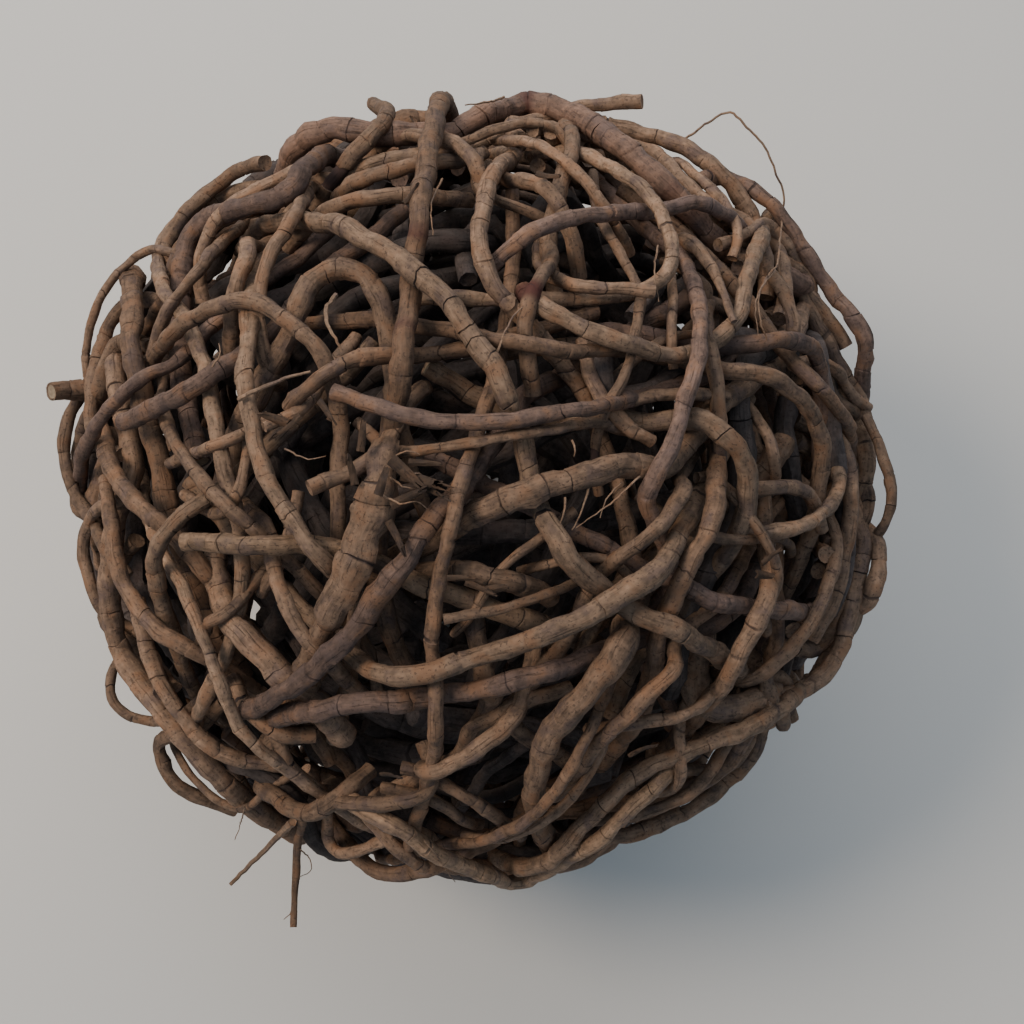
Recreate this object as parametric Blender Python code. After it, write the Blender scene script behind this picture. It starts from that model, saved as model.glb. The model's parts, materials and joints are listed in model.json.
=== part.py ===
"""Decorative ball woven from dried vine roots, hollow inside, about 150 mm across.

Every root is one solid tube with five sides.  The roots of the show face are laid
by hand, the roots of the hidden side follow a rule, and a relaxing pass then
eases every root clear of the ones it crosses.  Lengths are in millimetres until
the meshes are made in metres.
"""
import math

import bmesh
import bpy
import numpy as np

# ---- driving dimensions, millimetres and degrees ----------------------------
BALL_RADIUS = 75.0      # outer skin of the woven ball
FLAT_DEPTH = 2.0        # depth of the small flat spot the ball stands on
FACE_TILT = 13.0        # lean of the show face from straight up towards the front
SIGHT_DISTANCE = 272.0  # distance from the ball's middle to the sighting point
LAYER = 3.4             # depth taken up by one layer of roots
GAP = 0.34              # air left between two neighbouring roots
SHALLOWEST = 0.7        # a sight line counts as no more slanted than this, as a cosine
COURSE_STEP = 1.0       # spacing of the points read from a root's smooth course
STIFFNESS = 2.8         # length over which a root's own stiffness evens out its bends
RING_STEP = 13.5        # longest stretch between two rings of a root
RING_TURN = 20.0        # largest bend between two rings of a root
RING_STEP_MIN = 5.0     # shortest stretch between two rings of a root
FOOT_STEP = 5.0         # longest stretch between two rings of a foot
LEVELLED = 0.04         # corners of a foot lower than this are set level with the ground
SIDES = 5
WALK_STEP = 6.0         # spacing of the points laid on the hidden side
HIDDEN = -0.1           # a direction is well hidden when its cosine to the face is below this
VEER = 0.22             # how hard a root is steered at each step until it is hidden
TURN_LIMIT = 0.36       # tightest turn of a root on the hidden side, degrees per millimetre
SPREAD_CAP = 15.0       # a gap wider than this counts no more when a course is chosen
WEAVE_MIDDLE = 0.9      # layers over a hidden root, on average
WEAVE_SWING = 0.8       # and how far that number swings as the root weaves
WEAVE_LENGTH = 62.0     # length of one weave, over and under
FOOT_CLEAR = 34.0       # other roots stay high within this distance of the flat spot
FOOT_LAYERS = 1.4       # layers that lie over them there

REST_ROOTS = 3          # roots that carry the ball, round the flat spot
REST_THICKNESS = 4.8
REST_OFFSET = 11.0      # distance of a rest root from the middle of the flat spot
REST_HALF_LENGTH = 78.0
BACK_ROOTS = 6          # roots that lie wholly on the hidden side
BACK_THICKNESS = (2.6, 3.9)
BACK_LENGTH = (230.0, 300.0)
BACK_TRIALS = 80
BACK_START = -0.05      # a root of the hidden side starts where its cosine to the face is below this
BACK_EDGE = 0.25        # and may come round no further than this cosine
FOOT_BLEND = 12.0       # length over which the hidden roots rise to clear the flat spot
SETTLE_LENGTH = 25.0    # length over which a hidden course settles to its own depth
WALK_FAN = 9            # turns tried for each hidden tail
DIPPED = 1.45           # an end with at least this many layers over it runs on inside the ball
INNER_TAIL = (30.0, 60.0)       # shortest and longest stretch that it runs on
INNER_DEPTH = 2.9       # layers over such a tail
INNER_SWING = 0.5       # and how far it swings up and down from there
REST_DIP = 1.55         # layers by which a rest root dips under its neighbour
REST_DIP_PLACE = 0.72   # where it dips, as a share of the way between two crossings
REST_DIP_LENGTH = 2.2   # how gently it dips
SEED = 41

rng = np.random.default_rng(SEED)
MILLIMETRE = 0.001
CENTRE = np.array([0.0, 0.0, BALL_RADIUS - FLAT_DEPTH])
TILT = math.radians(FACE_TILT)
FACE_OUT = np.array([0.0, -math.sin(TILT), math.cos(TILT)])
FACE_UP = np.array([0.0, math.cos(TILT), math.sin(TILT)])
FACE_RIGHT = np.array([1.0, 0.0, 0.0])
DOWN = np.array([0.0, 0.0, -1.0])
FLAT_SIDE = math.cos(math.pi / SIDES)   # distance of a tube's flat side from its middle, in radii
FOOT_LEVEL = -CENTRE[2] + REST_THICKNESS / 2 * FLAT_SIDE   # height of a foot's middle line

# ---- roots of the show face ---------------------------------------------------
# Each root: how wide it looks, length carried on past its first point, length carried
# on past its last point, then its course.  A course point is millimetres right and
# millimetres up of the ball's middle, as sighted from the front of the show face,
# and the number of layers that lie over the root there.
FACE_ROOTS = {
    "long_chord": (4.2, 0, 0, [
        (-44, -46, 0.5), (-36, -40, 0), (-28, -33, 0), (-20, -24, 0),
        (-13, -15, 0), (-6, -6, 0.5), (0, 0, 1.2), (6, 7, 2.2)]),
    "right_chord": (4.8, 0, 0, [
        (-3, -6, 1.5), (4, -2, 0.3), (14, 1.5, 0), (24, 5, 0), (33, 8.5, 0.2),
        (40, 12, 1.1), (47, 17, 2)]),
    "upright": (4.2, 170, 0, [
        (-6, 75, 0.6), (-7, 70, 0.4), (-9, 60, 0), (-10, 52, 0), (-11, 45, 1),
        (-12, 36, 0.2), (-13, 28, 0), (-13.5, 21, 0.6), (-13.5, 14.5, 1.8)]),
    "long_curve": (4.3, 0, 0, [
        (-35, 52, 2), (-27, 51.5, 0.8), (-20, 48, 0), (-13, 44, 0), (-7, 39, 0),
        (-2, 33, 0), (3, 26, 0), (7, 18, 0), (10, 12, 1.2), (11, 6, 1.2),
        (12.5, 0, 1.2), (15, -6, 0.3), (18.5, -12, 0), (23, -17, 0.3),
        (29, -22, 1.2), (37, -26.5, 0.4), (44, -31, 1), (52, -36, 2)]),
    "waist_upper": (3.3, 0, 0, [
        (-27, 20, 0.3), (-20, 17.5, 0), (-13, 15, 0), (-5, 13.5, 0), (3, 13.5, 0),
        (12, 14.5, 0), (20, 15.8, 0), (27, 17, 0.5), (33, 18.5, 1.8)]),
    "upper_arch": (3.2, 0, 0, [
        (-64, 24, 1.7), (-57, 30, 0.4), (-50, 35, 0), (-44, 37, 0), (-38, 34.5, 0),
        (-32, 30, 0), (-28, 25, 0.7), (-26, 19, 1.6), (-25, 11, 2.6)]),
    "short_bar": (3.4, 0, 0, [
        (-35, 16, 1.2), (-30.5, 21, 0), (-25, 25, 0), (-19, 27, 0),
        (-13, 28, 1), (-6, 28, 2)]),
    "left_upright": (3.6, 0, 0, [
        (-42, 37, 1.8), (-43, 30, 0.4), (-44, 22, 0), (-43.5, 14, 0), (-42, 6, 0),
        (-38.5, -2, 0), (-34, -8, 0), (-30, -15, 0.4), (-28, -21, 1), (-27, -28, 2)]),
    "left_bar": (3.6, 0, 0, [
        (-67.5, 13, 0), (-62, 16, 0), (-56, 18.5, 0), (-50, 22.5, 0.1),
        (-44, 27, 1), (-37, 32, 2.4)]),
    "left_slant": (2.8, 0, 0, [
        (-64, 18, 1.5), (-62, 12.5, 0.8), (-58, 6, 0), (-53, 0, 0), (-48, -5, 0),
        (-43, -10, 1), (-37, -16, 2)]),
    "rim_slant": (3.4, 150, 0, [
        (-74.5, 13, 0.8), (-72, 5, 0), (-68.5, -1, 0), (-64, -4.5, 0),
        (-59, -9, 0.8), (-54, -14, 1.8)]),
    "left_curl": (3.4, 0, 0, [
        (-58, -32, 1.8), (-60.5, -25, 0.6), (-61.5, -17, 0), (-60.5, -11, 0),
        (-57, -6, 0), (-52, -2.5, 0.8), (-46, 1, 2)]),
    "pale_bar": (4.0, 0, 0, [
        (-55, -10, 0), (-49, -10.5, 0), (-42, -11.2, 0), (-36, -11.5, 0.9),
        (-30, -12, 1.3), (-23, -13, 2.4)]),
    "knotty_root": (5.6, 0, 0, [
        (-16, 9.5, 1.3), (-17, 3, 0.4), (-19, -5, 0.3), (-21, -12, 0.2),
        (-24, -20, 0.3), (-27, -28, 1), (-30, -35, 2)]),
    "centre_upright": (3.1, 0, 130, [
        (3, 17, 2), (1, 10.5, 1.1), (-1.5, 3, 0), (-3, -3, 0), (-4.5, -10, 0.1),
        (-6, -17, 1), (-7.5, -25, 0.6), (-7.5, -33, 1.2), (-7, -40, 0.1),
        (-6.5, -47, 0), (-7, -54, 0.9), (-9, -62, 1.2), (-11, -70, 1)]),
    "cradle": (3.8, 0, 0, [
        (-28, -29, 1.8), (-23, -34.5, 0.9), (-17, -36.8, 0), (-10, -36, 0),
        (-3, -34, 0.3), (3, -31.5, 0.9), (9, -29.3, 0), (15, -27, 0), (22, -24, 0),
        (28, -20.5, 0), (33, -16, 0), (37, -11, 0), (40, -5, 0.9), (43, 2, 2)]),
    "lower_bar": (4.2, 0, 0, [
        (-40, -43, 1.2), (-33, -42.5, 0), (-26, -41.3, 0), (-18, -40.8, 0),
        (-11, -40.8, 0.3), (-5, -40, 1.1), (2, -38, 0.3), (8, -37, 0), (14, -35.5, 0),
        (20, -32.5, 0), (26, -29.5, 0.8), (33, -26, 2)]),
    "thick_arm": (5.0, 150, 0, [
        (15, -70, 1), (13, -62, 0.4), (13.5, -55, 0), (15.5, -48, 0), (20, -42, 0),
        (25, -36, 0), (29.5, -30.5, 0.7), (34, -24, 2)]),
    "thin_arm": (2.4, 120, 0, [
        (-5, -73, 0.6), (3, -70, 0.2), (9, -66.5, 0), (14, -61.5, 0), (18, -56, 0),
        (22, -50.5, 0), (25, -44, 0.8), (28, -37, 2)]),
    "top_loop": (2.8, 0, 0, [
        (20, 67, 1.6), (25.5, 64, 0.4), (30, 61.5, 0), (35, 57, 0), (38.5, 51, 0),
        (39.5, 45, 0), (37.5, 40.5, 0.3), (32, 38, 1.2), (26, 37, 2)]),
    "top_bar": (2.9, 0, 130, [
        (3, 43, 1.4), (7.5, 47, 0.2), (12, 50.5, 0), (18, 53, 0), (25, 54, 0),
        (32, 54.3, 0.4), (39, 54.5, 1.1), (45, 54.5, 0.3), (50, 53, 0.4),
        (56, 49, 1.4), (63, 44, 1.6)]),
    "top_upright": (3.4, 150, 0, [
        (9, 73, 1), (6, 69, 0.3), (3.5, 64, 0), (2, 57, 0), (1.5, 50, 0), (3, 45, 0.2),
        (7, 40, 0.6), (10, 36, 1.2), (13, 30, 2)]),
    "right_bar": (3.2, 0, 0, [
        (-4, 29, 1.9), (3, 28.5, 0.8), (9, 28.2, 0), (16, 28, 0), (23, 28, 0.3),
        (31, 28.5, 1.4)]),
    "right_sweep": (3.4, 0, 150, [
        (11, 39, 1.4), (15, 36, 0.3), (21, 33, 0), (28, 30, 0), (35, 28, 0),
        (41, 27, 0.4), (46, 28, 0.9), (51, 31.5, 0.1), (53.5, 36, 0), (54.5, 42, 0),
        (56, 48, 0.3), (60, 53, 0.6), (65, 56, 0.8)]),
    "right_upright": (3.4, 0, 0, [
        (43, 41, 1.6), (44.8, 34, 0.6), (45, 27, 0), (43.5, 20, 0), (41.5, 13, 0),
        (38.5, 6, 0), (36.3, 0, 0), (36, -6, 1), (37, -12, 2)]),
    "right_slant": (3.1, 0, 0, [
        (49, 13, 1.8), (45, 6.5, 0.4), (41.5, 1.5, 0), (37.5, -3.5, 0.1), (33, -9, 0),
        (29, -13, 0.5), (24, -18, 2)]),
    "right_leg": (4.0, 0, 0, [
        (49, 14, 1.8), (49.5, 6, 0.8), (49, -2, 0), (46.5, -9, 0), (43, -15, 0),
        (40, -21, 0.6), (37, -28, 1.9)]),
    "right_crook": (4.2, 0, 0, [
        (37, 14, 1.8), (44, 12.3, 0.8), (49, 10.5, 0), (53, 7, 0), (55, 2, 0.2),
        (54, -4, 1), (50, -9, 2)]),
    "rim_bow": (3.2, 0, 0, [
        (50, 27, 1.9), (56, 28.3, 0.5), (62, 28, 0), (67, 26.8, 0), (70, 22.5, 0),
        (71, 16, 1.1), (71, 8, 2)]),
    "lower_bow": (3.2, 0, 0, [
        (47, 22, 1.9), (53, 23, 0.4), (58, 22, 0), (63, 19, 0), (66.5, 14.5, 0.2),
        (68, 8, 1.1), (67, 0, 2)]),
    "rim_diagonal": (3.0, 0, 170, [
        (60, 29, 1.7), (65, 23.5, 0.6), (69, 19, 0), (73, 14, 0), (76, 8, 0.4),
        (77.5, 1, 0.8)]),
    "hook_root": (2.9, 0, 0, [
        (74, 14, 1.2), (74.5, 6, 0.1), (74, 1, 0), (72, -3.5, 0), (67.5, -7, 0),
        (61, -9, 0.4), (54, -11, 1.8)]),
    "lower_right_bar": (3.4, 0, 130, [
        (36, -18, 1.8), (43, -21.8, 0.5), (50, -23, 0.2), (56, -23.5, 0.9),
        (62, -24, 0.2), (68, -24.5, 0.9), (74, -24.5, 0.4)]),
    "lower_right_leg": (3.6, 0, 0, [
        (57, -9, 1.8), (59, -16, 0.4), (57, -22, 0), (53.5, -28, 0), (51.5, -34, 0),
        (49.5, -40, 0.7), (47, -47, 1.6)]),
    "long_tail": (3.0, 0, 150, [
        (42, -28, 1.6), (39.5, -33, 0.4), (37, -38, 0), (33.5, -42.5, 0.1),
        (29, -47, 0), (25, -51.5, 0.5), (20, -58, 1.2), (17, -66, 1)]),
    "right_rim": (3.3, 140, 140, [
        (74, 21, 1), (76, 14, 0.9), (77.6, 6, 0.1), (77, -2, 0.6), (77.5, -10, 0.3),
        (78, -17, 0), (75.5, -23.5, 0), (72, -29.5, 0), (68, -35.5, 0), (62.5, -41, 0.5)]),
    "left_brace": (2.8, 140, 0, [
        (-76.5, 1, 1), (-74.5, 9, 0.2), (-71, 15, 0), (-67, 20.5, 0), (-62.5, 24.5, 0),
        (-58, 28.5, 0.9), (-52, 33, 2)]),
    "left_stub": (3.8, 0, 0, [
        (-66, 21, 1.2), (-71, 20.8, 0.6), (-76, 20.8, -0.5), (-81.5, 19.2, -1)]),
    "knob_root": (4.0, 0, 0, [
        (-65.8, 42, 0), (-65.2, 37, 0), (-64.5, 30.5, 0.3), (-63, 23, 1.4),
        (-61, 14, 2.4)]),
    "corner_sweep": (2.8, 120, 150, [
        (-56, 31, 1), (-60, 38, 0.1), (-61.2, 44, 0), (-60, 49.5, 0), (-55.5, 54.8, 0),
        (-49, 59.3, 0), (-42.5, 63, 0.3)]),
    "corner_band": (4.0, 0, 150, [
        (-57, 40, 1.8), (-57.3, 46, 0.4), (-54, 51, 0), (-48, 54.5, 0), (-41, 56, 0),
        (-35.5, 58, 0.1), (-32.5, 62.5, 0), (-30.5, 67, 0.2)]),
    "outer_left": (4.2, 120, 130, [
        (-72, -10, 0.6), (-71.5, -20, 0.2), (-70, -28, 0), (-66.5, -35, 0),
        (-61.5, -41, 0), (-56.5, -47, 0), (-51.5, -53, 0), (-46, -59, 0.3)]),
    "left_descent": (3.2, 0, 0, [
        (-70.5, 3, 1.2), (-69.5, -6, 0.1), (-69, -13, 0), (-66.5, -20, 0),
        (-61.5, -27, 0), (-56, -32, 0), (-50, -37, 0.9), (-43, -43, 2)]),
    "slim_descent": (2.6, 0, 150, [
        (-60, -13, 1.6), (-58, -19.5, 0.3), (-54, -27, 0), (-50.5, -34, 0),
        (-48, -41, 0), (-45.5, -47, 0), (-41, -52, 0), (-35, -57, 0.9),
        (-28, -63, 1.2), (-22, -69, 0.8)]),
    "red_root": (4.6, 110, 190, [
        (-4, 73, 0.9), (2, 74.3, 0.3), (9, 75.3, 0), (16, 74.5, 0), (22, 72.3, 0),
        (28, 68.5, 0), (34, 64, 0), (40, 59.5, 0.2), (44, 56, 1), (50, 51, 2)]),
    "bulb_root": (4.6, 0, 0, [
        (-36, 27, 1.8), (-34, 33, 0.9), (-31.5, 39.5, 0.8), (-26.5, 44, 0.9),
        (-20.5, 42, 1.1), (-16, 37, 1.7), (-15, 29, 2.6)]),
    "lower_rim": (3.2, 170, 0, [
        (16, -71, 0.6), (22, -70, 0.3), (30, -67.5, 0.2), (38, -64.5, 0), (45, -60, 0),
        (51, -55, 0), (55.2, -48.5, 0.2), (58, -42.5, 0.8), (60, -36, 1.6)]),
    "bottom_rim": (3.2, 0, 150, [
        (-24, -60, 1.2), (-18, -63.5, 0.2), (-12, -66.5, 0), (-7, -70.5, 0),
        (-1, -73, 0), (5, -75, 0), (10, -76.5, 0), (15, -74, 0.3)]),
    "top_right_rim": (3.1, 0, 150, [
        (44, 60, 1.3), (50, 60.8, 0.2), (55, 58.5, 0), (59, 55.2, 0), (62.8, 50.5, 0),
        (65.8, 45, 0.3), (70.5, 38, 0.5), (75, 33, 0), (77.5, 29, 0), (76.5, 23, 0.6),
        (76, 17, 1.3)]),
    "right_loop": (2.2, 0, 0, [
        (77, 14, 0), (80, 7.5, -1), (81.8, 2, -1), (82.2, -3, -1), (80, -8, -1),
        (76, -12.5, 0)]),
    "hanging_root": (1.8, 0, 0, [
        (-32, -62, 0.9), (-33.5, -69, 0), (-34, -78, 0), (-34.3, -85, 0)]),
}

# A root listed here thickens at a node: how far along it, how much, how long.
SWELLINGS = {
    "knotty_root": (0.22, 1.4, 6.0),
    "left_upright": (0.30, 0.6, 6.0),
    "right_chord": (0.55, 0.5, 6.0),
    "knob_root": (0.06, 0.8, 5.0),
    "cradle": (0.62, 0.5, 6.0),
    "thick_arm": (0.80, 0.6, 7.0),
}
# A root listed here thins evenly to this share of its thickness at its far end.
TAPERS = {"bulb_root": 0.62, "left_stub": 0.95, "hanging_root": 0.75, "thick_arm": 0.9}


# ---- courses ------------------------------------------------------------------
def unit(vector):
    return vector / np.linalg.norm(vector)


def sighted(right, up, layers, half):
    """Point where a sight line from the front meets the ball's skin, sunk by some layers.

    Every course point is four numbers: its place about the ball's middle, and the
    layers over it, which tell which of two crossing roots is the upper one.
    """
    eye = SIGHT_DISTANCE * FACE_OUT
    ray = unit(right * FACE_RIGHT + up * FACE_UP - eye)
    reach = BALL_RADIUS - half
    nearest = -eye @ ray
    inside = reach ** 2 - (eye @ eye - nearest ** 2)
    depth = math.sqrt(inside) if inside > 0 else 0.0
    sunk = layers * LAYER / max(depth / reach, SHALLOWEST)
    return [*(eye + (nearest - depth + sunk) * ray), layers]


def sighted_course(width, course):
    """Points of a face root's course, and the thickness that makes it look this wide there."""
    points = [sighted(right, up, layers, width / 2) for right, up, layers in course]
    nearness = np.mean([np.dot(point[:3], FACE_OUT) for point in points])
    thickness = width * (1 - nearness / SIGHT_DISTANCE)
    return [sighted(right, up, layers, thickness / 2) for right, up, layers in course], thickness


def smooth_course(points):
    """Points about COURSE_STEP apart on a smooth, stiff curve along the given ones."""
    points = np.asarray(points)
    before = 2 * points[0] - points[1]
    after = 2 * points[-1] - points[-2]
    padded = np.vstack([before, points, after])
    course = []
    for index in range(1, len(padded) - 2):
        p0, p1, p2, p3 = padded[index - 1:index + 3]
        count = max(2, round(np.linalg.norm(p2 - p1) / COURSE_STEP))
        for step in range(count):
            t = step / count
            course.append(0.5 * (2 * p1 + (p2 - p0) * t + (2 * p0 - 5 * p1 + 4 * p2 - p3) * t * t
                                 + (3 * p1 - p0 - 3 * p2 + p3) * t ** 3))
    course.append(points[-1])
    course = np.array(course)
    margin = round(3 * STIFFNESS / COURSE_STEP)
    window = np.exp(-0.5 * (np.arange(-margin, margin + 1) * COURSE_STEP / STIFFNESS) ** 2)
    window /= window.sum()
    count = np.arange(margin, 0, -1)[:, None]
    lead = course[0] + (course[0] - course[1]) * count
    trail = course[-1] + (course[-1] - course[-2]) * count[::-1]
    padded = np.vstack([lead, course, trail])
    return np.stack([np.convolve(column, window, mode="valid") for column in padded.T], axis=1)


def woven_layers(distance, phase):
    """Layers that lie over a hidden root this far along it, kept up where the feet are."""
    return WEAVE_MIDDLE + WEAVE_SWING * math.sin(2 * math.pi * distance / WEAVE_LENGTH + phase)


def clear_of_feet(direction, layers):
    """The number of layers, raised near the middle of the flat spot."""
    distance = BALL_RADIUS * math.acos(max(-1.0, min(1.0, -direction[2])))
    share = min(1.0, max(0.0, (FOOT_CLEAR - distance) / FOOT_BLEND))
    return layers + share * max(0.0, FOOT_LAYERS - layers)


def walk(start, heading, length, half, turn, phase, inner=False):
    """Course from a point, along a heading, turning gently as it goes.

    An inner one stays under the other roots, and any other one is steered to the hidden side.
    """
    start, heading = np.asarray(start)[:3], np.asarray(heading)[:3]
    radius = np.linalg.norm(start)
    direction = start / radius
    heading = unit(heading - (heading @ direction) * direction)
    points = []
    for step in range(1, int(length / WALK_STEP) + 1):
        angle = WALK_STEP / BALL_RADIUS
        ahead = direction * math.cos(angle) + heading * math.sin(angle)
        heading = heading * math.cos(angle) - direction * math.sin(angle)
        bend = math.radians(turn * WALK_STEP)
        heading = unit(heading * math.cos(bend) + np.cross(ahead, heading) * math.sin(bend))
        direction = ahead
        if direction @ FACE_OUT > HIDDEN and not inner:
            heading = heading - VEER * FACE_OUT
            heading = unit(heading - (heading @ direction) * direction)
        distance = step * WALK_STEP
        if inner:
            layers = INNER_DEPTH + INNER_SWING * math.sin(2 * math.pi * distance / WEAVE_LENGTH + phase)
        else:
            layers = clear_of_feet(direction, woven_layers(distance, phase))
        reach = BALL_RADIUS - layers * LAYER - half
        settle = min(1.0, distance / SETTLE_LENGTH)
        points.append([*direction * (radius + (reach - radius) * settle), layers])
    return points


def openness(points, laid):
    """How much open skin a course would fill, from its distances to the roots already laid."""
    offsets = np.asarray(points)[:, None, :3] - np.asarray(laid)[None, :, :3]
    gaps = np.linalg.norm(offsets, axis=2).min(axis=1)
    return np.minimum(gaps, SPREAD_CAP).mean()


def best_walk(start, heading, length, half, laid, inner=False):
    """The walk, out of a fan of turns, that fills the most open skin."""
    phase = rng.uniform(0, 2 * math.pi)
    trials = [walk(start, heading, length, half, turn, phase, inner)
              for turn in np.linspace(-TURN_LIMIT, TURN_LIMIT, WALK_FAN)]
    return max(trials, key=lambda points: openness(points, laid))


def rest_course(index):
    """One of the roots that carry the ball, over one neighbour, under the other, its foot level."""
    around = 2 * math.pi * index / REST_ROOTS + math.pi / 6
    side = np.array([math.cos(around), math.sin(around), 0.0])
    along = np.array([-math.sin(around), math.cos(around), 0.0])
    middle = unit(side * REST_OFFSET - np.array([0.0, 0.0, BALL_RADIUS]))
    points = []
    for distance in np.arange(-REST_HALF_LENGTH, REST_HALF_LENGTH + 1, WALK_STEP):
        angle = distance / BALL_RADIUS
        crossing = REST_OFFSET * math.sqrt(3)
        layers = REST_DIP / (1 + math.exp((distance + crossing * REST_DIP_PLACE) / REST_DIP_LENGTH))
        reach = BALL_RADIUS - layers * LAYER - REST_THICKNESS / 2
        points.append([*(middle * math.cos(angle) + along * math.sin(angle)) * reach, layers])
    course = smooth_course(points)
    course[:, 2] = np.maximum(course[:, 2], FOOT_LEVEL)
    return course


def hidden_start():
    """A point and a heading picked at random on the hidden side."""
    while True:
        direction = unit(rng.normal(size=3))
        if direction @ FACE_OUT < BACK_START:
            break
    heading = np.cross(direction, unit(rng.normal(size=3)))
    return direction, unit(heading)


def lay_roots():
    """Every root's name, thickness and smooth course about the ball's middle."""
    laid = []
    courses = {}
    thicknesses = {}
    for name, (width, before, after, course) in FACE_ROOTS.items():
        courses[name], thicknesses[name] = sighted_course(width, course)
        laid.extend(courses[name])
    roots = []
    for index in range(REST_ROOTS):
        course = rest_course(index)
        laid.extend(course[::round(WALK_STEP / COURSE_STEP)])
        roots.append((f"rest_root_{index + 1}", REST_THICKNESS, course))
    inner_laid = [[*-FACE_OUT * BALL_RADIUS, 0.0]]
    for name, (width, before, after, course) in FACE_ROOTS.items():
        points = courses[name]
        thickness = thicknesses[name]
        for length in (before, after):
            points = points[::-1]
            inner = not length and points[-1][3] >= DIPPED
            if inner:
                length = rng.uniform(*INNER_TAIL)
            if length:
                heading = np.subtract(points[-1], points[-2])
                taken = inner_laid if inner else laid
                tail = best_walk(points[-1], heading, length, thickness / 2, taken, inner)
                taken.extend(tail)
                points = points + tail
        roots.append((name, thickness, smooth_course(points)))
    for index in range(BACK_ROOTS):
        thickness = rng.uniform(*BACK_THICKNESS)
        length = rng.uniform(*BACK_LENGTH)
        best = None
        for _ in range(BACK_TRIALS):
            direction, heading = hidden_start()
            turn = rng.uniform(-TURN_LIMIT, TURN_LIMIT)
            start = direction * (BALL_RADIUS - WEAVE_MIDDLE * LAYER - thickness / 2)
            points = walk(start, heading, length, thickness / 2, turn, rng.uniform(0, 2 * math.pi))
            if max(unit(point[:3]) @ FACE_OUT for point in points) > BACK_EDGE:
                continue
            score = openness(points, laid)
            if best is None or score > best[0]:
                best = (score, points)
        laid.extend(best[1])
        roots.append((f"back_root_{index + 1}", thickness, smooth_course(best[1])))
    return roots


def ring_places(course):
    """Numbers of the course points that carry a ring: closer together where the root bends."""
    places = [0]
    length = turned = 0.0
    for index in range(1, len(course) - 1):
        step = course[index, :3] - course[index - 1, :3]
        ahead = course[index + 1, :3] - course[index, :3]
        length += np.linalg.norm(step)
        turned += math.degrees(math.acos(min(1.0, unit(step) @ unit(ahead))))
        longest = FOOT_STEP if course[index, 2] < FOOT_LEVEL + 1 else RING_STEP
        if length >= longest or (turned >= RING_TURN and length >= RING_STEP_MIN):
            places.append(index)
            length = turned = 0.0
    if length < RING_STEP_MIN / 2 and len(places) > 2:
        places.pop()
    places.append(len(course) - 1)
    return places


def ring_radii(name, thickness, rings):
    """Radius of each ring, with the root's taper and swelling."""
    steps = np.linalg.norm(np.diff(rings, axis=0), axis=1)
    along = np.concatenate([[0.0], np.cumsum(steps)])
    share = along / along[-1]
    radii = np.full(len(rings), thickness / 2)
    radii *= 1 + (TAPERS.get(name, 1.0) - 1) * share
    if name in SWELLINGS:
        place, extra, length = SWELLINGS[name]
        radii += extra * np.exp(-((share - place) * along[-1] / length) ** 2)
    return radii


# ---- relaxing -----------------------------------------------------------------
RELAX_PASSES = 420
SETTLE_PASSES = 120     # last passes, which only part the roots
PAIR_REFRESH = 10       # passes between two searches for neighbouring stretches
EVEN_SHARE = 0.2        # part of the unevenness of a root's moves taken out in one pass
HOME_KEEP = 0.98        # part of its moves that a root keeps from one pass to the next
UPPER_SHARE = 0.35      # part of a correction that the upper root of a crossing takes
PARTED = 0.03           # the roots count as parted when no gap lacks more than this
REACH_MARGIN = 1.5      # further than touching by this, two stretches are no neighbours
SAME_ROOT_APART = 3     # stretches of one root nearer in number than this never meet
CROSSING_SINE = 0.3     # two stretches cross, and don't run side by side, above this sine
END_SHARE = 0.001       # closer to its end than this, a stretch is met at its end


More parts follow.
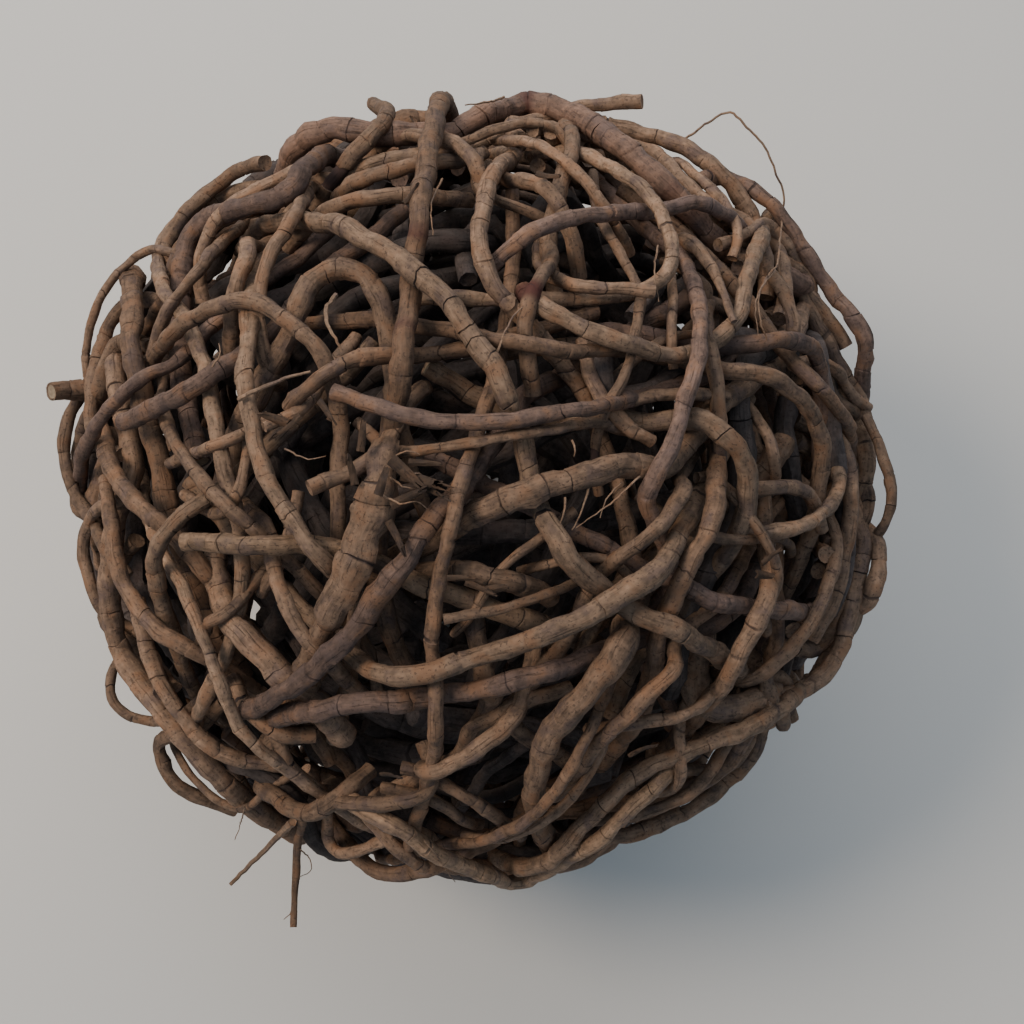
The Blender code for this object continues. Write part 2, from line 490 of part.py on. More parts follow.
class Weave:
    """All the rings of all the roots, as one set of points joined into stretches."""

    def __init__(self, roots):
        laid = np.vstack([rings for _, rings, _ in roots])
        self.home, self.layers = laid[:, :3], laid[:, 3]
        self.rings = self.home.copy()
        self.radii = np.concatenate([radii for _, _, radii in roots])
        self.owner = np.concatenate([[number] * len(rings)
                                     for number, (_, rings, _) in enumerate(roots)])
        self.feet = self.home[:, 2] < FOOT_LEVEL + 0.01
        self.mobility = np.where(self.feet, 1e-6, 1.0)
        same = self.owner[1:] == self.owner[:-1]
        self.first = np.nonzero(same)[0]
        self.reach = np.maximum(BALL_RADIUS - self.radii, np.linalg.norm(self.home, axis=1))
        self.inner = np.zeros(len(self.rings), bool)
        self.inner[1:-1] = same[1:] & same[:-1]

    def neighbours(self):
        """Pairs of stretches near enough to touch."""
        starts = self.rings[self.first]
        ends = self.rings[self.first + 1]
        middles = (starts + ends) / 2
        halves = np.linalg.norm(ends - starts, axis=1) / 2
        sizes = halves + self.radii[self.first] + REACH_MARGIN
        low, high = np.triu_indices(len(middles), 1)
        near = np.linalg.norm(middles[low] - middles[high], axis=1) < sizes[low] + sizes[high]
        low, high = low[near], high[near]
        a, b = self.first[low], self.first[high]
        apart = (self.owner[a] != self.owner[b]) | (np.abs(a - b) >= SAME_ROOT_APART)
        return a[apart], b[apart]

    def closest(self, points, a, b):
        """Shares along two stretches of their closest points."""
        u = points[a + 1] - points[a]
        v = points[b + 1] - points[b]
        w = points[a] - points[b]
        uu = (u * u).sum(1)
        uv = (u * v).sum(1)
        vv = (v * v).sum(1)
        uw = (u * w).sum(1)
        vw = (v * w).sum(1)
        area = uu * vv - uv * uv
        s = np.where(area > 1e-9, (uv * vw - vv * uw) / np.maximum(area, 1e-9), 0.5)
        s = np.clip(s, 0, 1)
        t = np.clip((uv * s + vw) / vv, 0, 1)
        s = np.clip((uv * t - uw) / uu, 0, 1)
        return s, t

    def part(self, a, b, strength):
        """Push apart the stretches that are too close, the upper one out and the lower one in."""
        s, t = self.closest(self.rings, a, b)
        u = self.rings[a + 1] - self.rings[a]
        v = self.rings[b + 1] - self.rings[b]
        on_a = self.rings[a] + s[:, None] * u
        on_b = self.rings[b] + t[:, None] * v
        need = (self.radii[a] * (1 - s) + self.radii[a + 1] * s
                + self.radii[b] * (1 - t) + self.radii[b + 1] * t + GAP)
        offset = on_a - on_b
        distance = np.maximum(np.linalg.norm(offset, axis=1), 1e-6)
        across = np.cross(u, v)
        size = np.linalg.norm(across, axis=1)
        sine = size / (np.linalg.norm(u, axis=1) * np.linalg.norm(v, axis=1))
        inside = (np.minimum(s, t) > END_SHARE) & (np.maximum(s, t) < 1 - END_SHARE)
        crossing = inside & (sine > CROSSING_SINE)
        outward = on_a + on_b
        across *= np.sign((across * outward).sum(1))[:, None] / np.maximum(size, 1e-9)[:, None]
        layers_a = self.layers[a] * (1 - s) + self.layers[a + 1] * s
        layers_b = self.layers[b] * (1 - t) + self.layers[b + 1] * t
        a_over = layers_a <= layers_b
        order = np.where(a_over, 1.0, -1.0)
        away = np.where(crossing[:, None], across * order[:, None], offset / distance[:, None])
        reached = np.where(crossing, (offset * away).sum(1), distance)
        lack = need - reached
        hit = (lack > 0) & (distance < need)
        a, b, s, t = a[hit], b[hit], s[hit], t[hit]
        away, lack, crossing, a_over = away[hit], lack[hit], crossing[hit], a_over[hit]
        share_a = np.where(crossing, np.where(a_over, UPPER_SHARE, 1 - UPPER_SHARE), 0.5)
        share_b = (1 - share_a) * self.mobility[b]
        share_a = share_a * self.mobility[a]
        total = share_a + share_b
        share_a, share_b = share_a / total, share_b / total
        move = np.zeros_like(self.rings)
        count = np.full(len(self.rings), 1e-9)
        for points, share, weight, sign in ((a, share_a, s, 1), (b, share_b, t, -1)):
            spread = (1 - weight) ** 2 + weight ** 2
            push = away * (sign * share * lack / spread)[:, None]
            np.add.at(move, points, push * (1 - weight)[:, None])
            np.add.at(move, points + 1, push * weight[:, None])
            np.add.at(count, points, 1 - weight)
            np.add.at(count, points + 1, weight)
        self.rings += strength * move / np.maximum(count, 1)[:, None]
        return (need - distance).max()

    def ease(self):
        """Even out the moves along each root, and pull it a little towards where it was laid."""
        moved = self.rings - self.home
        even = moved.copy()
        even[1:-1] = (moved[:-2] + moved[2:]) / 2
        even[~self.inner] = moved[~self.inner]
        self.rings = self.home + HOME_KEEP * (moved + EVEN_SHARE * (even - moved))
        self.rings[self.feet] = self.home[self.feet]

    def hold_in(self):
        """Keep every ring inside the ball's skin."""
        sizes = np.linalg.norm(self.rings, axis=1)
        self.rings *= np.minimum(1.0, self.reach / sizes)[:, None]

    def relax(self):
        for step in range(RELAX_PASSES + SETTLE_PASSES):
            if step % PAIR_REFRESH == 0:
                a, b = self.neighbours()
            worst = self.part(a, b, 0.9)
            if step < RELAX_PASSES:
                self.ease()
            self.hold_in()
            if step >= RELAX_PASSES and worst < PARTED:
                break
        print(f"relaxed in {step + 1} passes, {len(self.first)} stretches, closest gap "
              f"{GAP - worst:.2f} mm")


# ---- meshes and materials -----------------------------------------------------
def ring_frames(rings):
    """Outward and sideways directions of each ring, square to the root."""
    steps = np.diff(rings, axis=0)
    steps /= np.linalg.norm(steps, axis=1)[:, None]
    tangents = np.vstack([steps[:1], steps[:-1] + steps[1:], steps[-1:]])
    tangents /= np.linalg.norm(tangents, axis=1)[:, None]
    frames = []
    outward = None
    for ring, tangent in zip(rings, tangents):
        radial = DOWN if ring[2] < FOOT_LEVEL + 0.01 else unit(ring)
        flat = radial - (radial @ tangent) * tangent
        if outward is not None:
            carried = unit(outward - (outward @ tangent) * tangent)
            weight = min(1.0, np.linalg.norm(flat) ** 2 * 1.5)
            flat = flat * weight + carried * (1.05 - weight)
        outward = unit(flat)
        frames.append((outward, np.cross(tangent, outward)))
    return frames


def root_mesh(name, rings, radii):
    """Closed five-sided tube round the rings, level where it stands."""
    shape = bmesh.new()
    loops = []
    for (outward, sideways), ring, radius in zip(ring_frames(rings), rings, radii):
        loop = []
        for side in range(SIDES):
            angle = 2 * math.pi * (side + 0.5) / SIDES
            corner = ring + radius * (math.cos(angle) * outward + math.sin(angle) * sideways)
            corner = corner + CENTRE
            if corner[2] < LEVELLED:
                corner[2] = 0.0
            loop.append(shape.verts.new(corner))
        loops.append(loop)
    for near, far in zip(loops[:-1], loops[1:]):
        for side in range(SIDES):
            after = (side + 1) % SIDES
            shape.faces.new((near[side], near[after], far[after], far[side]))
    shape.faces.new(loops[0][::-1])
    shape.faces.new(loops[-1])
    bmesh.ops.recalc_face_normals(shape, faces=shape.faces)
    mesh = bpy.data.meshes.new(name)
    shape.to_mesh(mesh)
    shape.free()
    return mesh


BARKS = (   # colour and roughness of the bark, one root after another
    ((0.185, 0.125, 0.088), 0.86),
    ((0.150, 0.097, 0.066), 0.88),
    ((0.215, 0.152, 0.110), 0.84),
    ((0.130, 0.080, 0.054), 0.90),
)
BARE_WOOD = {   # roots that have lost their bark
    "red_root": ((0.155, 0.058, 0.040), 0.60),
    "pale_bar": ((0.300, 0.215, 0.150), 0.80),
    "bottom_rim": ((0.320, 0.235, 0.160), 0.80),
}


def bark_material(name, number):
    colour, roughness = BARE_WOOD.get(name, BARKS[number % len(BARKS)])
    material = bpy.data.materials.new(name)
    material.use_nodes = True
    shader = material.node_tree.nodes["Principled BSDF"]
    shader.inputs["Base Color"].default_value = (*colour, 1.0)
    shader.inputs["Roughness"].default_value = roughness
    shader.inputs["Metallic"].default_value = 0.0
    return material


def place_root(name, number, mesh, ball):
    """Object of a root, its origin at the middle of its own mesh."""
    corners = np.array([vertex.co for vertex in mesh.vertices])
    middle = (corners.min(axis=0) + corners.max(axis=0)) / 2
    middle[2] = 0.0
    for vertex, corner in zip(mesh.vertices, corners):
        vertex.co = (corner - middle) * MILLIMETRE
    mesh.shade_smooth()
    mesh.set_sharp_from_angle(angle=math.radians(66))
    mesh.materials.append(bark_material(name, number))
    root = bpy.data.objects.new(name, mesh)
    root.parent = ball
    root.location = middle * MILLIMETRE
    bpy.context.scene.collection.objects.link(root)
    return corners


def build():
    for old in list(bpy.data.objects):
        bpy.data.objects.remove(old, do_unlink=True)
    roots = []
    for name, thickness, course in lay_roots():
        rings = course[ring_places(course)]
        roots.append((name, rings, ring_radii(name, thickness, rings[:, :3])))
    weave = Weave(roots)
    weave.relax()
    ball = bpy.data.objects.new("ball", None)
    bpy.context.scene.collection.objects.link(ball)
    corners = []
    for number, (name, rings, radii) in enumerate(roots):
        eased = weave.rings[weave.owner == number]
        mesh = root_mesh(name, eased, radii)
        corners.append(place_root(name, number, mesh, ball))
    corners = np.vstack(corners)
    middle = (corners.min(axis=0) + corners.max(axis=0)) / 2
    ball.location = (-middle[0] * MILLIMETRE, -middle[1] * MILLIMETRE, 0.0)
    length = sum(np.linalg.norm(np.diff(rings[:, :3], axis=0), axis=1).sum() for _, rings, _ in roots)
    print(f"{len(roots)} roots, {length / 1000:.2f} m in all, box {np.ptp(corners, axis=0).round(1)}")


build()
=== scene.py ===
# %% [markdown]
# # A ball woven from dried roots
#
# The object is a table ornament about 150 mm across: a hollow ball of dried vine roots, bent
# round each other while they were wet and left to dry. The bark has cracked crosswise into short
# rings, as it does on every root that is bent hard.
#
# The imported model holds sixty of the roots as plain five-sided tubes. This lesson dresses each of
# them in real bark, adds the thinner roots between them, and lights the ball on a pale table.

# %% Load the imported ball
import json
import math

import bpy
import numpy as np
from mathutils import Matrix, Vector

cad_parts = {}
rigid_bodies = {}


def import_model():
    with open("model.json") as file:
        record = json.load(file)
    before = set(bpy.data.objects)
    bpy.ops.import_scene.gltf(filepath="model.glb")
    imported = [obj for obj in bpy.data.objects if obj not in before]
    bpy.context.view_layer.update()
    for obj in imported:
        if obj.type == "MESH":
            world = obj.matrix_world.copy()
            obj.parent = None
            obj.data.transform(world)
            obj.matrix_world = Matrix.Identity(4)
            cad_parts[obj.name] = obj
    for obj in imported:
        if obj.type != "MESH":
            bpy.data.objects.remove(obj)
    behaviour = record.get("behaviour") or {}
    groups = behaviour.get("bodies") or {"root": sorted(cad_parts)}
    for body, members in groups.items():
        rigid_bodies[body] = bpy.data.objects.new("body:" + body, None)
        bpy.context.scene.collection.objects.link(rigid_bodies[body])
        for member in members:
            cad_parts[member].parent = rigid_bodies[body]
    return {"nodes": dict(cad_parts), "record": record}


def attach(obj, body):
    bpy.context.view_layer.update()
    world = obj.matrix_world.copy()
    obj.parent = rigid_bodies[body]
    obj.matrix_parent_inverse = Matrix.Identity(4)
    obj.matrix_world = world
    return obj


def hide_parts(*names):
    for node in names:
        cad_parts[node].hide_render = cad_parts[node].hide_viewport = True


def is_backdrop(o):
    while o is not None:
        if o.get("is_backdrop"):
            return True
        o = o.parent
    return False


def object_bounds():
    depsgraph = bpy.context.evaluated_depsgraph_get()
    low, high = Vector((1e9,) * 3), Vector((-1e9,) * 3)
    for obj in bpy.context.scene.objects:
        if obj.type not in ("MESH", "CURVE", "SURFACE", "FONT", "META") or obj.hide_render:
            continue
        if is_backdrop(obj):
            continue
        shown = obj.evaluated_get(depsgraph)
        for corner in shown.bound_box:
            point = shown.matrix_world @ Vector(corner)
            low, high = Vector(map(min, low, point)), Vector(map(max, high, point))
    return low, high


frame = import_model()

bpy.ops.object.select_all(action="DESELECT")
cad_low, cad_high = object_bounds()
record = frame["record"]
slot_of = {part["node"]: part["material_slot"] for part in record["subparts"]}
print(f"{len(frame['nodes'])} packed roots, {len(set(slot_of.values()))} finishes")

# %% [markdown]
# ## Where the ball is
#
# Roots are easiest to think about in millimetres and from the middle of the ball, so every course
# below is kept that way and moved to its place only when its mesh is made. The record states the
# hollow inside of the ball as a box, and the middle of that box is the middle of the ball.

# %% The ball's middle and skin
MM = 0.001              # metres in a millimetre
FLAT_DEPTH = 2.0        # depth of the flat spot under the ball
LAYER = 3.4             # depth taken up by one layer of roots

hollow = np.array(record["physics"]["openings"][0]["box_m"]) / MM
MIDDLE = hollow.mean(axis=0)
SKIN = MIDDLE[2] + FLAT_DEPTH
print(f"middle of the ball {MIDDLE.round(1)} mm, skin at {SKIN:.1f} mm")

# %% [markdown]
# The show face looks up and a little to the front. A root on it is laid along a line of
# sight: so many millimetres to the right, so many up, and so many layers under the skin.

# %% Directions of the show face
FACE_TILT = math.radians(13.0)      # lean of the show face from straight up to the front
SIGHT_DISTANCE = 272.0              # from the ball's middle to the eye
FACE_OUT = np.array([0.0, -math.sin(FACE_TILT), math.cos(FACE_TILT)])
FACE_UP = np.array([0.0, math.cos(FACE_TILT), math.sin(FACE_TILT)])
FACE_RIGHT = np.array([1.0, 0.0, 0.0])
SHALLOWEST = 0.7        # a sight line counts as no more slanted than this, as a cosine


def unit(vector):
    """The vector, or each vector of an array, at length one."""
    return vector / np.linalg.norm(vector, axis=-1, keepdims=True)


def sighted(right, up, layers, thickness):
    """Point about the ball's middle where a line of sight meets its skin, sunk some layers."""
    eye = SIGHT_DISTANCE * FACE_OUT
    ray = unit(right * FACE_RIGHT + up * FACE_UP - eye)
    reach = SKIN - thickness / 2
    nearest = -eye @ ray
    inside = reach ** 2 - (eye @ eye - nearest ** 2)
    depth = math.sqrt(inside) if inside > 0 else 0.0
    sunk = layers * LAYER / max(depth / reach, SHALLOWEST)
    return eye + (nearest - depth + sunk) * ray


# %% [markdown]
# ## Smooth courses
#
# A dried root is stiff and has no corners. A Catmull-Rom curve passes through every point that it
# is given and turns smoothly between them, which is just how a bent root behaves.

# %% A smooth line through some points
def smooth_line(points, step):
    """The points of a smooth curve through the given ones, and their distances along it."""
    points = np.asarray(points, float)
    padded = np.vstack([2 * points[0] - points[1], points, 2 * points[-1] - points[-2]])
    found = []
    for p0, p1, p2, p3 in zip(padded[:-3], padded[1:-2], padded[2:-1], padded[3:]):
        count = max(2, math.ceil(np.linalg.norm((p2 - p1)[:3]) / step))
        t = (np.arange(count) / count)[:, None]
        found.append(0.5 * (2 * p1 + (p2 - p0) * t + (2 * p0 - 5 * p1 + 4 * p2 - p3) * t ** 2
                            + (3 * p1 - p0 - 3 * p2 + p3) * t ** 3))
    found = np.vstack([*found, points[-1:]])
    steps = np.linalg.norm(np.diff(found[:, :3], axis=0), axis=1)
    return found, np.concatenate([[0.0], np.cumsum(steps)])


def spaced(points, step):
    """The same course with its points a given distance apart."""
    line, along = smooth_line(points, step / 4)
    count = max(2, round(along[-1] / step) + 1)
    places = np.linspace(0, along[-1], count)
    return np.stack([np.interp(places, along, column) for column in line.T], axis=1)


# %% [markdown]
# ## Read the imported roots
#
# A packed root is a tube of five-sided rings between two flat ends. Its own mesh tells where it
# lies: starting from the corners of one end, the next corners along the edges are always the next
# ring. The middle of each ring is a point of the root's course.

# %% The rings of a packed root
RING_STEP = 5.0         # spacing of the points that stand for a root while others are laid
PACKED_SIDES = 5        # corners round a packed root
LEVEL = 0.002           # a corner this near a plane lies in it
SAME_WAY = 0.9999       # two faces look the same way above this cosine
EVENLY_OUT = 0.01       # how much the corners of an end may differ in distance from its middle


def corners_of(mesh):
    """The corners of a mesh as rows of three numbers."""
    corners = np.empty(len(mesh.vertices) * 3)
    mesh.vertices.foreach_get("co", corners)
    return corners.reshape(-1, 3)


def welded(node):
    """Corners of a packed root in millimetres, and its triangles as numbers of corners."""
    mesh = node.data
    joints = np.empty(len(mesh.loops), int)
    mesh.loops.foreach_get("vertex_index", joints)
    corners, number = np.unique(np.round(corners_of(mesh) / MM, 4), axis=0, return_inverse=True)
    return corners, number.ravel()[joints].reshape(-1, 3)


def flat_end(corners, triangles):
    """The corners of one end: a few triangles in one plane, all their corners equally far out."""
    a, b, c = corners[triangles].transpose(1, 0, 2)
    normals = unit(np.cross(b - a, c - a))
    for normal, seed in zip(normals, triangles):
        level = np.abs((corners - corners[seed[0]]) @ normal) < LEVEL
        inside = triangles[level[triangles].all(axis=1) & (normals @ normal > SAME_WAY)]
        end = np.unique(inside)
        if len(inside) != PACKED_SIDES - 2 or len(end) != PACKED_SIDES:
            continue
        spokes = np.linalg.norm(corners[end] - corners[end].mean(axis=0), axis=1)
        if np.ptp(spokes) < EVENLY_OUT * spokes.mean():
            return end


def ring_course(node):
    """Middle and radius of each ring of a packed root, about the ball's middle."""
    corners, triangles = welded(node)
    ring = flat_end(corners, triangles)
    passed = np.zeros(len(corners), bool)
    course = []
    while len(ring):
        middle = corners[ring].mean(axis=0)
        radius = np.linalg.norm(corners[ring] - middle, axis=1).mean()
        course.append([*(middle - MIDDLE), radius])
        passed[ring] = True
        touching = np.isin(triangles, ring).any(axis=1)
        ahead = np.unique(triangles[touching])
        ring = ahead[~passed[ahead]]
    return np.array(course)


packed = {name: ring_course(node) for name, node in frame["nodes"].items()}
print(f"{sum(len(course) for course in packed.values())} rings read")

# %% [markdown]
# ## The second roots of the show face
#
# Between the sixty main roots lie many thinner ones, most of them in plain sight only for a
# stretch. Each one is the width it looks, the share of it that is left at the far end, and a
# course of sighted points: right, up and layers down. An end with many layers over it dips out
# of sight. A root near the eye looks wider than it is, so its thickness comes out smaller.

# %% Second roots, upper part
UPPER_LEFT = (
    (2.9, 1.0, ((-31.5, 65, 1.5), (-33.7, 57, 0.9), (-35.3, 49, 0), (-36.8, 42, 0),
                (-38.3, 36, 0.9), (-40, 29, 2))),
    (3.2, 1.0, ((-39.5, 57, 1.3), (-40.3, 51, 0.4), (-41.3, 44, 0.2), (-42.5, 37.5, 0.9),
                (-44, 31, 2))),
    (2.4, 1.0, ((-49, 48, 1.5), (-52, 43.5, 0.5), (-55.5, 38.5, 0.3), (-58.5, 33, 0.5),
                (-61, 28, 1.2))),
    (3.4, 1.0, ((-32, 56, 1.4), (-28, 57.7, 0.6), (-20, 58.5, 0.5), (-13, 58.2, 1.2),
                (-6, 57, 2))),
    (3.0, 1.0, ((-24, 60, 1.5), (-20, 62, 0.7), (-14, 63.5, 0.7), (-9, 64, 1.3), (-3, 64, 2))),
    (3.2, 1.0, ((-31, 65, 1), (-27, 69, 0.3), (-22.5, 72.3, 0), (-18.5, 75, 0))),
    (2.8, 0.8, ((-26, 27, 1.6), (-31, 20.5, 0.8), (-35, 17, 0), (-41, 12, 0))),
)
UPPER_MIDDLE = (
    (3.0, 1.0, ((-20, 72, 1), (-15, 73, 0.4), (-9, 72.3, 0), (-4, 69.8, 0), (0, 66.5, 0.3),
                (3, 62, 1.3))),
    (2.0, 1.0, ((-6, 70.5, 1), (0, 72.3, 0.3), (6, 72.8, 0.3), (12, 72, 1))),
    (2.8, 1.0, ((15, 72, 1.5), (21, 74, 0.6), (27, 75.8, 0), (33.5, 76.3, 0))),
    (2.8, 1.0, ((27, 72, 1.2), (32, 72.3, 0.3), (36, 70.5, 0), (39.5, 66.5, 0.3), (43, 62, 1))),
    (2.2, 1.0, ((10, 70, 1.2), (13.5, 67.5, 0.5), (18, 64.5, 0.3), (21.5, 60, 0.4), (25, 56, 1),
                (28, 51, 2))),
    (3.0, 1.0, ((8, 66, 1.3), (11, 62, 0.6), (14.5, 57.5, 0.6), (17, 52.5, 1.2), (19, 47, 2))),
    (3.0, 1.0, ((25, 72, 1.2), (22.5, 67, 0.6), (19.5, 61, 0.6), (17.8, 55.5, 0.8),
                (17, 50, 1.5))),
    (2.0, 1.0, ((6, 61, 0.8), (9, 57, 0.8), (12, 53, 0.8))),
    (3.2, 1.0, ((16, 52, 1.4), (14.5, 46, 0.4), (12.5, 41, 0), (10.5, 36, 0), (8.5, 30, 1),
                (7, 24, 2))),
    (2.8, 0.9, ((18.2, 47.5, 1.2), (19.6, 45, 0.2), (22, 42.5, 0), (27, 40.5, 0), (32, 39.2, 0),
                (36, 38.5, 0))),
)
UPPER_RIGHT = (
    (2.2, 1.0, ((26, 56, 1.6), (28.5, 49, 0.4), (30, 43, 0.5), (31.2, 38.5, 1), (32, 34, 0.2),
                (32.5, 28.5, 1), (32, 23, 0.1), (31.5, 17, 0), (29.5, 12, 0.6), (27, 5, 2))),
    (3.8, 0.3, ((44, 52, 1), (46, 47, 0.4), (48.3, 41, 0), (49.6, 35, 0), (50, 31.5, 0.2))),
    (3.0, 1.0, ((44, 58, 1.5), (46.5, 62, 0.6), (48.5, 64.5, 0))),
    (3.6, 1.0, ((62, 42, 1.5), (67, 44.5, 0.6), (71, 45, 0), (72.5, 41, 0.3))),
    (2.6, 1.0, ((60, 51, 1.4), (61.5, 45, 0.6), (62.5, 38, 0.5), (63.5, 31, 0.9), (64, 25, 1.8))),
    (2.0, 1.0, ((40.5, 44, 0.7), (41, 37, 0.7), (40.5, 29, 0.7))),
    (2.0, 1.0, ((43.5, 43, 1.2), (45.5, 37, 1.2))),
    (2.4, 1.0, ((33, 16.5, 0.8), (41, 14.5, 0.8))),
    (2.0, 1.0, ((33, 22, 1.2), (41, 23, 1.2))),
    (2.8, 1.0, ((25.5, 24, 0.9), (28, 20, 0.9), (30.5, 17, 0.9))),
    (3.0, 1.0, ((53, 35, 1.6), (52, 26, 0.5), (51, 19, 0), (50.5, 13, 0.9), (50, 5, 2))),
)
print(f"{len(UPPER_LEFT) + len(UPPER_MIDDLE) + len(UPPER_RIGHT)} second roots in the upper part")

# %% Second roots, middle
MIDDLE_LEFT = (
    (3.0, 1.0, ((-46, -7, 1.8), (-42, -14, 0.9), (-38, -20, 0), (-33, -25.5, 0), (-28, -31, 0.9),
                (-23, -36, 1.9))),
    (3.2, 1.0, ((-12, 18, 1.8), (-16, 14.5, 1.2), (-20, 11, 0.3), (-24, 7.5, 0), (-28, 3.5, 0),
                (-31.5, 0.5, 0))),
    (2.6, 1.0, ((-52.5, 7, 0.6), (-48, 8.5, 0.6), (-44.5, 9.7, 0.6))),
    (2.4, 1.0, ((-50, 2, 0.9), (-46, 4, 0.9), (-43.5, 5, 0.9))),
    (2.6, 1.0, ((-37, -5, 1.6), (-40, -9, 1.6))),
    (2.6, 1.0, ((-44, -13, 1.2), (-46.5, -18, 0.5), (-49.5, -22.5, 0.4), (-52.5, -27.5, 0.9))),
    (5.0, 1.0, ((-47, -13, 1.6), (-45, -18, 1), (-41.5, -24, 0.8), (-37.5, -30, 0.9),
                (-33, -35, 1.6), (-28, -40, 2.2))),
)
MIDDLE_RIGHT = (
    (2.3, 1.0, ((-16, 12, 1.6), (-9, 10.5, 0.6), (0, 9.8, 0), (8, 10, 0), (16, 11.3, 0),
                (24, 13, 0.3), (31, 13.5, 1.6))),
    (2.2, 1.0, ((38, -3, 1.6), (44, -5.5, 1.2), (51, -7, 0.3), (57, -9, 0.2), (61, -11, 1))),
    (2.2, 1.0, ((54, 1, 1.2), (56.5, -2.5, 0.4), (60, -7, 0), (62.5, -12, 0), (62.5, -17, 0.2),
                (60, -22, 1.2))),
    (3.0, 1.0, ((54, 0, 1), (58, 1.3, 0.3), (64, 1, 0.3), (69.5, 0.5, 0.8))),
    (2.2, 1.0, ((60, 16.5, 0.8), (60.5, 11.5, 0.8), (60, 7, 0.8))),
    (2.6, 1.0, ((71, 2, 1.6), (70, -6, 0.7), (70, -14, 0), (69.5, -20, 0), (67, -26, 0),
                (62.5, -31.5, 0.3), (57, -37, 1.6))),
    (2.0, 0.9, ((-5, -25.3, 0), (2, -24.4, 0), (9, -23.4, 0), (15, -22.3, 0.3), (21, -21, 1.3))),
    (4.0, 1.0, ((-12, -17, 1.5), (-7, -17.5, 0.5), (-1, -18.7, 0.3), (5, -20, 0.5),
                (10, -20.5, 1.2))),
    (2.0, 1.0, ((2, -25, 1.2), (7, -22, 0.4), (11, -19.5, 0.4), (14.5, -15.5, 0.6),
                (16.5, -11, 1.2))),
    (2.0, 1.0, ((15, -22, 1), (20, -21.5, 1), (26, -21, 1))),
    (4.0, 1.0, ((0.5, -27, 0.8), (2, -30, 0), (4.5, -34.5, 0), (6.5, -39, 1.3))),
)
print(f"{len(MIDDLE_LEFT) + len(MIDDLE_RIGHT)} second roots in the middle")

# %% Second roots, lower part
LOWER_LEFT = (
    (3.0, 1.0, ((-66, -28, 1), (-63, -33, 0.4), (-58.5, -39, 0.2), (-54, -44, 0.2),
                (-50, -50, 0.4), (-46, -55, 0.8), (-42, -58, 1))),
    (1.6, 1.0, ((-59, -43, 1), (-62, -47, 0.2), (-62, -51.5, 0), (-58.5, -57, 0),
                (-53.5, -61, 0), (-48.5, -61.8, 0), (-43, -60.5, 0.6))),
    (3.4, 1.0, ((-50, -36, 1.6), (-44.5, -38.5, 0.6), (-39, -41, 0.7), (-34, -43, 1.3))),
    (3.6, 1.0, ((-46, -60, 1.2), (-41, -58.3, 0.3), (-35, -57.6, 0), (-30, -57.3, 0.2),
                (-25, -56, 1.3))),
    (3.0, 1.0, ((-31, -63, 1.2), (-26, -60.5, 0.3), (-19, -58.3, 0), (-13, -56.8, 0.2),
                (-8, -55, 0.9))),
    (3.0, 1.0, ((-31, -43, 1.5), (-32, -48, 0.5), (-33, -54, 0.8), (-34, -60, 1.6))),
    (2.6, 1.0, ((-20, -67, 0.6), (-15, -70, 0.3), (-9, -73.5, 0.3))),
    (2.4, 1.0, ((-29, -71, 0.6), (-24, -71.5, 0.2), (-18, -70, 0.6))),
)
LOWER_RIGHT = (
    (3.6, 1.0, ((-14, -58, 1.5), (-8, -55.5, 0.6), (-3, -53, 0.2), (2.5, -49.5, 0),
                (7, -46.5, 0.3), (10.5, -43.5, 1), (14, -39, 2))),
    (3.0, 1.0, ((-3, -50, 1.6), (0, -46.5, 0.8), (4, -43, 0.6), (8.5, -40.5, 0.8),
                (13, -38, 1.8))),
    (3.4, 1.0, ((9, -36, 1.8), (11, -41, 0.6), (14, -46, 0.8), (17, -51, 2))),
    (2.4, 1.0, ((-12, -61, 0.6), (-7, -64, 0.4), (-2, -67, 0.6))),
    (2.6, 1.0, ((-8, -57, 0.6), (-3, -60, 0.3), (2, -62, 0.3), (5, -64, 0.7))),
    (2.0, 1.0, ((3, -71.5, 0.6), (9, -68.5, 0.4), (15, -64, 0.4), (20, -57, 0.8), (23, -51, 1.4))),
    (2.6, 1.0, ((30, -46, 1.4), (35, -44.5, 0.4), (41, -44, 0), (46.5, -42, 0), (50, -38, 0.7),
                (53, -33, 1.6))),
    (2.6, 1.0, ((56, -42, 1.2), (55.5, -47, 0.4), (53, -52, 0.2), (49, -57, 0.6))),
    (2.2, 1.0, ((47, -45, 1.4), (45.5, -50, 0.5), (43.5, -56, 0.3), (41.5, -62, 0.8))),
    (3.0, 1.0, ((56, -36, 1.5), (60, -41, 0.5), (62, -45.5, 0))),
    (5.0, 1.0, ((50, -30, 1.8), (54.5, -34, 0.6), (59, -37, 0.5), (64, -40.5, 0.6))),
)

# %% [markdown]
# Some roots bow out past the others and give the ball its uneven outline, which is what makes it
# look woven by hand. They are laid just outside the skin, and their ends dip back under it.

